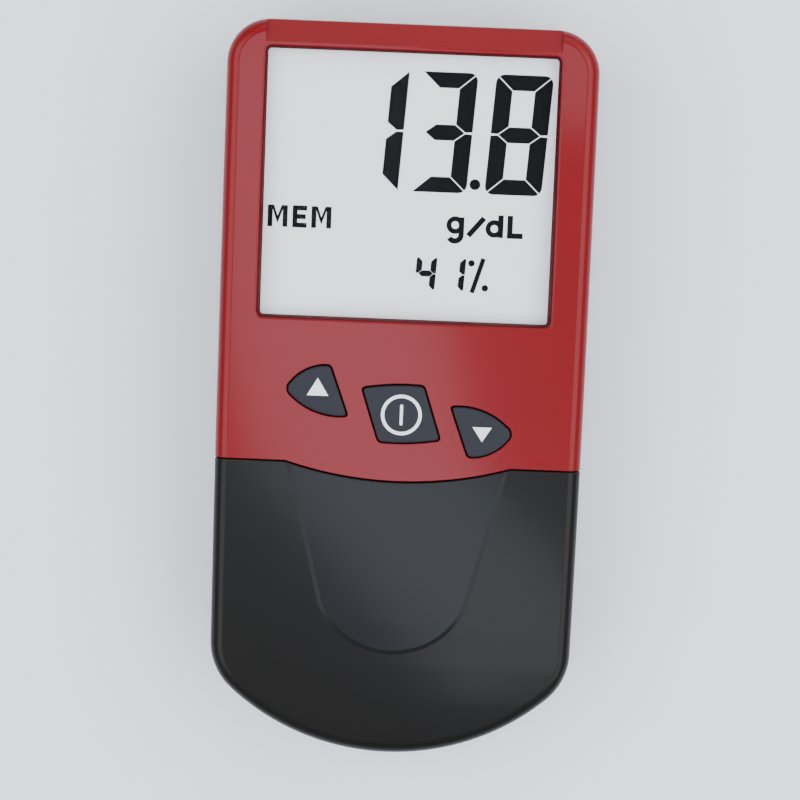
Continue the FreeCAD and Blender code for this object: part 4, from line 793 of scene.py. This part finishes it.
def digit(name, shown, x0, x1, y0, y1, wide, tall, gap=0.14, corner=1.0, blunt=0.0):
    """One digit: its bars, cut to a shape with round outer corners and blunt ends, then leant over."""
    made = [block(f"{name}_{key}", points, INK_LOW, INK_HIGH)
            for key, points in bars(x0, x1, y0, y1, wide, tall, gap).items() if key in shown]
    piece = merge(made, name)
    start = x0 if "f" in shown else x0 - 2 * corner
    shape = rectangle(start, x1, y0 + blunt, y1 - blunt, corner, 6)
    combine(piece, block("round", shape, 20, 23), "INTERSECT")
    for spot in piece.data.vertices:
        spot.co.x += (spot.co.y - y0 * MM) * LEAN
    return piece


BIG, BIG_BARS = (36.6, 57.5), 2.7
SMALL, SMALL_BARS = (19.1, 25.5), (1.05, 1.05, 0.05, 0.2, 0.4)
ink = [
    digit("digit_1", "bc", -12.0, -1.95, *BIG, 2.95, BIG_BARS, corner=0.05),
    digit("digit_2", "abcdg", 0.5, 10.1, *BIG, 3.0, BIG_BARS, corner=1.5),
    digit("digit_3", "abcdefg", 13.3, 23.3, *BIG, 3.0, BIG_BARS, corner=1.5),
    digit("digit_4", "fgbc", 1.6, 5.2, *SMALL, *SMALL_BARS),
    digit("digit_5", "bc", 7.0, 10.3, *SMALL, *SMALL_BARS),
    block("point", arc(11.6, 38.2, 0.95, 0, 360, 24)[:-1], INK_LOW, INK_HIGH),
]
print("digits:", len(ink) - 1)


# %% Small words on the display, written with a pen of even width
def ribbon(path, width):
    """The outline of a line of even width along a path, with mitred corners."""
    spots = [Vector(spot) for spot in path]
    half, sides = width / 2, ([], [])
    for index, spot in enumerate(spots):
        before = (spot - spots[index - 1]).normalized() if index else None
        after = (spots[index + 1] - spot).normalized() if index < len(spots) - 1 else None
        before, after = before or after, after or before
        lean = before + after
        out = Vector((lean.y, -lean.x)).normalized()
        share = min(1 / max(out.dot(Vector((after.y, -after.x))), 0.35), 2.2)
        sides[0].append(tuple(spot + out * half * share))
        sides[1].append(tuple(spot - out * half * share))
    return sides[0] + sides[1][::-1]


def write(name, paths, width):
    """A sign made of one or more pen lines, joined into one flat piece."""
    piece = None
    for path in paths:
        line = block(f"{name}_line", ribbon(path, width), INK_LOW, INK_HIGH)
        piece = combine(piece, line, "UNION") if piece else line
    piece.name = name
    return piece


def letter_m(name, x, y, wide, tall, pen):
    """A capital M as one outline; x and y are its lower left corner."""
    foot, notch, shoulder = 0.16 * tall, 0.5 * tall, pen * 1.25
    slope = (tall - notch) / (wide / 2 - shoulder)
    half = [(0, 0), (pen, 0), (pen, foot + slope * (wide / 2 - pen)), (wide / 2, foot)]
    high = [(wide / 2, notch), (shoulder, tall), (0, tall)]
    right = [(wide - a, b) for a, b in reversed(half[:-1])]
    high_right = [(wide - a, b) for a, b in reversed(high[1:])]
    outline = half + right + high_right + high
    return block(name, [(x + a, y + b) for a, b in outline], INK_LOW, INK_HIGH)


def bowl(name, x, y):
    """The round bowl of a small letter."""
    outer = block(name, arc(x, y, 1.55, 0, 360, 36)[:-1], INK_LOW, INK_HIGH)
    return combine(outer, block("inner", arc(x, y, 0.68, 0, 360, 28)[:-1], 21, 22))


def dot(name, x, y, radius):
    """A round dot."""
    return block(name, arc(x, y, radius, 0, 360, 16)[:-1], INK_LOW, INK_HIGH)


PEN, WIDE_PEN, SLIM_PEN = 0.85, 0.95, 0.8
hook = [(9.55, 32.4), (9.55, 29.3)] + arc(8.45, 29.3, 1.1, 0, -150, 14)[1:]
stem = [(16.45, 29.05), (16.45, 33.0)]
ink += [
    letter_m("word_m_1", -24.6, 29.5, 3.5, 3.8, PEN),
    write("word_e", [[(-17.7, 29.89), (-19.8, 29.89), (-19.8, 32.91), (-17.7, 32.91)],
                     [(-19.8, 31.4), (-17.9, 31.4)]], PEN),
    letter_m("word_m_2", -16.9, 29.5, 3.5, 3.8, PEN),
    combine(bowl("unit_g", 8.45, 31.0), write("hook", [hook], WIDE_PEN), "UNION"),
    write("unit_slash", [[(10.8, 29.2), (13.5, 32.4)]], WIDE_PEN),
    combine(bowl("unit_d", 15.35, 30.6), write("stem", [stem], WIDE_PEN), "UNION"),
    write("unit_l", [[(18.1, 33.0), (18.1, 29.47), (20.4, 29.47)]], WIDE_PEN),
    write("percent_bar", [[(11.85, 19.2), (13.7, 25.3)]], SLIM_PEN),
    dot("percent_high", 11.6, 24.4, 0.58),
    dot("percent_low", 14.15, 20.1, 0.58),
]
display_ink = merge(ink, "display_ink")
print("display ink faces:", len(display_ink.data.polygons))

# %% [markdown]
# Four screws close the shells from the back, and four rubber feet keep the meter from sliding. Each
# kind is modelled once and copied: a screw with a cross recess, and a foot with a round rim and a
# shallow dimple.

# %% Four housing screws
HEAD, HEAD_LOW, HEAD_HIGH, SHANK = 2.1, 2.0, 3.5, 1.0


def screw(x, y):
    """A round-headed screw, head down, with a cross recess."""
    piece = block("screw", arc(x, y, HEAD, 0, 360, 40)[:-1], HEAD_LOW, HEAD_HIGH)
    edit(piece)
    pick_rim(piece, HEAD_LOW, -1)
    bevel(0.7, 5)
    leave()
    for long, short in ((0.28, 1.25), (1.25, 0.28)):
        combine(piece, block("cross", rectangle(x - long, x + long, y - short, y + short), 1, 2.9))
    combine(piece, block("shank", arc(x, y, SHANK, 0, 360, 24)[:-1], HEAD_HIGH - 0.1, 16.5), "UNION")
    return smooth(piece, 35)


housing_screws = repeat(screw(*SCREWS[0]), SCREWS, "housing_screws_set")
print("screws:", len(SCREWS))

# %% Four rubber feet
FEET = [(24.0, 52.0), (-24.0, 52.0), (16.0, -52.0), (-16.0, -52.0)]
FOOT, FOOT_HIGH, FOOT_RIM, DIMPLE = 4.0, 0.62, 1.2, 0.15
foot = block("foot", arc(*FEET[0], FOOT, 0, 360, 56)[:-1], 0.0, FOOT_HIGH)
edit(foot)
pick_rim(foot, 0.0, -1)
bevel(0.3, 4)
pick(foot, "FACE", lambda face: face.normal.z < -0.99)
bpy.ops.mesh.inset(thickness=FOOT_RIM * MM, depth=0)
bpy.ops.mesh.inset(thickness=0.3 * MM, depth=0)
bpy.ops.transform.translate(value=(0, 0, DIMPLE * MM))
leave()
rubber_feet = repeat(smooth(foot, 40), FEET, "rubber_feet_set")
print("feet:", len(FEET))

# %% [markdown]
# The strip tray, the lot chip and the rubber webs under the keys have the right shape in the measured
# solids, but their edges are as sharp as a knife. Copies are merged, freed of needless edges, and get
# the small rounds of a moulding. Each web is a piece of its own.

# %% Strip tray, lot chip and key webs with moulded edges
def moulded(name, width, steps=2):
    """A copy of a measured solid with softened edges."""
    piece = copy_of(nodes[name], f"{name}_moulded")
    piece.parent = None
    edit(piece)
    bpy.ops.mesh.remove_doubles(threshold=0.003 * MM)
    bpy.ops.mesh.dissolve_limited(angle_limit=math.radians(2))
    leave()
    return soften(piece, width, steps=steps)


strip_tray = moulded("strip_tray", 0.12)
code_chip = moulded("code_chip", 0.15, 3)
webs = {name: moulded(name.replace("key_", "key_spring_"), 0.08) for name in KEYS}
print("tray faces:", len(strip_tray.data.polygons), " chip faces:", len(code_chip.data.polygons))

# %% [markdown]
# Finishes. Every finish starts from one recipe: a fine noise for the grain and the gloss, a broad one
# for slight changes of colour, both on the piece's own millimetres, so that they stay with it. The
# table gives each plastic, rubber, metal and board its own colour, gloss and grain.

# %% The recipe for a finish
BROAD_SCALE, DETAIL = 70, 3


def linear(red, green, blue):
    """A screen colour of 0 to 255 as the shader's linear colour."""
    shares = [value / 255 for value in (red, green, blue)]
    return [share / 12.92 if share < 0.04045 else ((share + 0.055) / 1.055) ** 2.4
            for share in shares] + [1.0]


def finish(name, colour, rough, grain_mm, bump, tone, sockets=None):
    """A procedural finish: colour, roughness, size and bump of the grain, and how far the tone varies."""
    paint = bpy.data.materials.new(name)
    paint.use_nodes = True
    tree = paint.node_tree
    shader = tree.nodes["Principled BSDF"]
    place = tree.nodes.new("ShaderNodeTexCoord")
    broad, fine = tree.nodes.new("ShaderNodeTexNoise"), tree.nodes.new("ShaderNodeTexNoise")
    for noise, scale in ((broad, BROAD_SCALE), (fine, 1000 / grain_mm)):
        noise.inputs["Scale"].default_value = scale
        noise.inputs["Detail"].default_value = DETAIL
        tree.links.new(place.outputs["Object"], noise.inputs["Vector"])
    tint = tree.nodes.new("ShaderNodeMix")
    tint.data_type = "RGBA"
    dark = [share * (1 - tone) for share in colour[:3]] + [1]
    light = [min(share * (1 + tone), 1) for share in colour[:3]] + [1]
    tint.inputs["A"].default_value = dark
    tint.inputs["B"].default_value = light
    gloss = tree.nodes.new("ShaderNodeMapRange")
    gloss.inputs["To Min"].default_value = rough * 0.85
    gloss.inputs["To Max"].default_value = min(rough * 1.15, 1)
    relief = tree.nodes.new("ShaderNodeBump")
    relief.inputs["Strength"].default_value = bump
    relief.inputs["Distance"].default_value = grain_mm * 0.1 * MM
    tree.links.new(broad.outputs["Fac"], tint.inputs["Factor"])
    tree.links.new(tint.outputs["Result"], shader.inputs["Base Color"])
    tree.links.new(fine.outputs["Fac"], gloss.inputs["Value"])
    tree.links.new(gloss.outputs["Result"], shader.inputs["Roughness"])
    tree.links.new(fine.outputs["Fac"], relief.inputs["Height"])
    tree.links.new(relief.outputs["Normal"], shader.inputs["Normal"])
    for socket, value in (sockets or {}).items():
        shader.inputs[socket].default_value = value
    return paint


# %% The table of finishes
GLOSSY = {"Coat Weight": 0.25, "Coat Roughness": 0.11, "Specular IOR Level": 0.1}
SATIN = {"Coat Weight": 0.15, "Coat Roughness": 0.13, "Specular IOR Level": 0.1}
SOFT = {"Specular IOR Level": 0.2}
CLEAR = {"Alpha": 0.04, "Specular IOR Level": 0.15}
# The LCD cell glows faintly: painted light that brightens the display.
PAINTED_GLOW = {"Emission Color": linear(235, 240, 255), "Emission Strength": 0.2}
METAL = {"Metallic": 1.0}
MATT = {"Specular IOR Level": 0.1}
GLASS = {"Alpha": 0.25}
looks = {
    "red_shell": ((117, 10, 18), 0.38, 1.1, 0.1, 0.04, GLOSSY),
    "black_shell": ((18, 17, 16), 0.4, 0.16, 0.3, 0.08, SATIN),
    # window walls and rim: the shell's red made darker, a painted shade of the recess
    "window_wall_shade": ((74, 8, 13), 0.7, 0.5, 0.1, 0.05, MATT),
    # shield top: a grain of its own, and a colour a little lighter and cooler than the cover, a painted
    # sheen
    "shield": ((20, 22, 24), 0.42, 0.3, 0.35, 0.1, SATIN),
    "clear_lens": ((12, 14, 16), 0.04, 2.0, 0.02, 0.02, CLEAR),
    "lcd_cell": ((246, 249, 255), 0.4, 0.35, 0.03, 0.02, PAINTED_GLOW),
    "display_ink": ((10, 11, 14), 0.6, 0.3, 0.03, 0.05, MATT),
    "foam": ((36, 36, 38), 0.9, 0.3, 0.8, 0.2),
    "reflector": ((225, 228, 230), 0.3, 0.5, 0.05, 0.03),
    "white_frame": ((222, 222, 216), 0.45, 0.2, 0.2, 0.04),
    "connector_rubber": ((70, 72, 78), 0.7, 0.25, 0.4, 0.3),
    "key_rubber": ((33, 35, 42), 0.5, 0.12, 0.35, 0.06, SOFT),
    "key_sign": ((240, 243, 248), 0.5, 0.15, 0.15, 0.02),
    "mat_rubber": ((44, 46, 52), 0.6, 0.15, 0.3, 0.08),
    "circuit_board": ((24, 92, 56), 0.38, 1.3, 0.25, 0.22),
    "chip_black": ((38, 38, 40), 0.6, 0.1, 0.4, 0.1),
    "can_metal": ((190, 190, 192), 0.3, 0.2, 0.1, 0.05, METAL),
    "screw_steel": ((150, 152, 156), 0.28, 0.15, 0.15, 0.08, METAL),
    "contact_metal": ((205, 196, 170), 0.25, 0.2, 0.1, 0.06, METAL),
    "cell_wrap": ((60, 92, 120), 0.35, 0.6, 0.05, 0.05),
    "tray_plastic": ((196, 198, 200), 0.42, 0.15, 0.3, 0.04),
    "reference_white": ((240, 240, 236), 0.85, 0.1, 0.5, 0.02),
    "optics_black": ((26, 26, 28), 0.7, 0.12, 0.5, 0.1),
    "optics_glass": ((210, 224, 226), 0.05, 2.0, 0.02, 0.02, GLASS),
    "led_body": ((230, 226, 200), 0.3, 0.5, 0.05, 0.03),
    "sensor_body": ((40, 34, 52), 0.25, 0.5, 0.05, 0.05),
    "foot_rubber": ((34, 34, 36), 0.75, 0.2, 0.4, 0.1),
}
finishes = {name: finish(f"{name}_finish", linear(*colour), *rest)
            for name, (colour, *rest) in looks.items()}
print("finishes:", len(finishes))

# %% Finishes on the measured solids
for node in nodes.values():
    for place in node.material_slots:
        place.material = finishes[place.material.name.split(".")[0]]
print("solids finished:", len(nodes))

# %% [markdown]
# Each new piece now takes its finish and rides on the body that carries it, and the solid that it
# replaces is hidden. Two shells get a second finish on a few faces, chosen by place and direction: the
# window's walls and rim are matt and darker than the shell, a painted shade of the recess, and the
# shield's top keeps a grain of its own but is a little lighter and cooler than the cover, a painted
# sheen. The webs under the keys ride on the housing, each with a mesh of its own.

# %% Finishes, bodies and replaced solids of the new pieces
def set_up(piece, slot, body, *replaced, paint=None):
    """Give a piece its finish and its body, and hide the solids that it replaces."""
    piece.data.materials.clear()
    piece.data.materials.append(finishes[paint or slot])
    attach(piece, body)
    if replaced:
        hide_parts(*replaced)


def second_finish(piece, paint, wanted):
    """Give the faces that pass a test, by direction and middle, a finish of their own."""
    piece.data.materials.append(finishes[paint])
    for face in piece.data.polygons:
        if wanted(face.normal, face.center / MM):
            face.material_index = 1


def on_window_wall(normal, middle):
    """True for the walls and the rim of the window opening."""
    return normal.z < 0.7 and middle.z > LENS_TOP - 0.1 and abs(off_window(*middle.xy)) < 0.6


def on_shield_top(normal, middle):
    """True for the raised face of the shield."""
    return normal.z > 0.9 and middle.z > crown(middle.y) + 0.03


for tool in (front_guide, front_solid, back_solid):
    bpy.data.objects.remove(tool, do_unlink=True)
set_up(red_shell, "red_shell", "housing", "front_housing")
# The window's walls and rim take a darker red: painted shade, as in a recess.
second_finish(red_shell, "window_wall_shade", on_window_wall)
set_up(black_cover, "black_shell", "housing", "lower_front_cover")
# The shield's top gets its own grain, and a slightly lighter, cooler colour that is a painted sheen.
second_finish(black_cover, "shield", on_shield_top)
set_up(back, "black_shell", "housing", "rear_housing")
set_up(inside, "black_shell", "housing")
set_up(door, "black_shell", "door", "battery_door")
for name, key in keys.items():
    set_up(key, "key_rubber", f"{name}_body", name)
for name, sign in (("key_up", sign_up), ("key_down", sign_down), ("key_power", sign_power)):
    set_up(sign, "key_rubber", f"{name}_body", paint="key_sign")
for name, web in webs.items():
    set_up(web, "mat_rubber", "housing", name.replace("key_", "key_spring_"))
    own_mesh(web)
set_up(display_ink, "lcd_cell", "housing", paint="display_ink")
set_up(housing_screws, "screw_steel", "housing", "housing_screws")
set_up(rubber_feet, "foot_rubber", "housing", "rubber_feet")
set_up(strip_tray, "tray_plastic", "tray", "strip_tray")
set_up(code_chip, "tray_plastic", "lot_chip", "code_chip")

# %% [markdown]
# The table is a pale sheet. Two large soft panels at the sides give the even light, and one behind
# them brightens the upper rim. Three small panels hang right above the meter: the camera sees them
# mirrored in the faces, as the soft veils on the red shell, the black cover and the upper right corner.

# %% Table
bpy.ops.object.select_all(action="DESELECT")
bpy.ops.mesh.primitive_plane_add(size=12.0)
table = bpy.context.object
table.name = table.data.name = "table"
table.data.materials.append(finish("table_finish", linear(241, 245, 252), 0.6, 2.0, 0.02, 0.01))
print("table:", table.name)

# %% Lights
world = bpy.data.worlds.new("soft_room")
bpy.context.scene.world = world
world.use_nodes = True
room = world.node_tree.nodes["Background"].inputs
room["Color"].default_value = linear(232, 238, 250)
room["Strength"].default_value = 0.5


def lamp(name, place, wide, tall, strength, turn=None, colour=(255, 255, 255)):
    """A soft panel of even brightness, facing the meter, or straight down and turned by some degrees."""
    bpy.ops.object.light_add(type="AREA", location=place)
    light = bpy.context.object
    light.name = light.data.name = name
    light.data.shape = "RECTANGLE"
    light.data.size, light.data.size_y = wide, tall
    light.data.energy = strength * math.pi * wide * tall
    light.data.color = linear(*colour)[:3]
    if turn is None:
        aim = METER_MIDDLE - light.location
        light.rotation_euler = aim.to_track_quat("-Z", "Y").to_euler()
    else:
        light.rotation_euler = (0, 0, math.radians(turn))
    return light


METER_MIDDLE, COOL = Vector((0, 0, 0.01)), (230, 240, 255)
lights = [
    lamp("right_light", (0.42, -0.05, 0.60), 1.0, 0.5, 3.5),
    lamp("left_light", (-0.42, -0.05, 0.60), 1.0, 0.5, 3.3),
    lamp("far_light", (0.25, 0.75, 0.55), 1.2, 0.6, 1.6),
    lamp("high_strip", (-0.034, 0.01, 0.60), 0.108, 0.31, 6.3, turn=8, colour=COOL),
    lamp("low_strip", (0.032, -0.228, 0.60), 0.100, 0.24, 7.0, turn=26, colour=COOL),
    lamp("corner_strip", (0.085, 0.150, 0.60), 0.050, 0.10, 5.5, turn=0, colour=COOL),
]
print("lights:", len(lights))

# %% [markdown]
# The camera looks almost straight down, tilted a little from the upper end and turned by two degrees.
# A long lens keeps the sides of the meter nearly parallel.

# %% Camera
PITCH, ROLL, DISTANCE = math.radians(6), math.radians(2.3), 0.35
LENS_MM, SENSOR_MM = 87, 36
target = Vector((0.0, -0.001, 0.015))
bpy.ops.object.camera_add()
camera = bpy.context.object
camera.name = camera.data.name = "camera"
away = Matrix.Rotation(ROLL, 3, "Z") @ Vector((0, math.sin(PITCH), math.cos(PITCH)))
camera.location = target + away * DISTANCE
camera.rotation_euler = (-PITCH, 0, ROLL)
camera.data.lens = LENS_MM
camera.data.sensor_width = SENSOR_MM
camera.data.clip_start = 0.01
bpy.context.scene.camera = camera
print("camera at", [round(value, 3) for value in camera.location])

# %% Update the scene
bpy.context.view_layer.update()
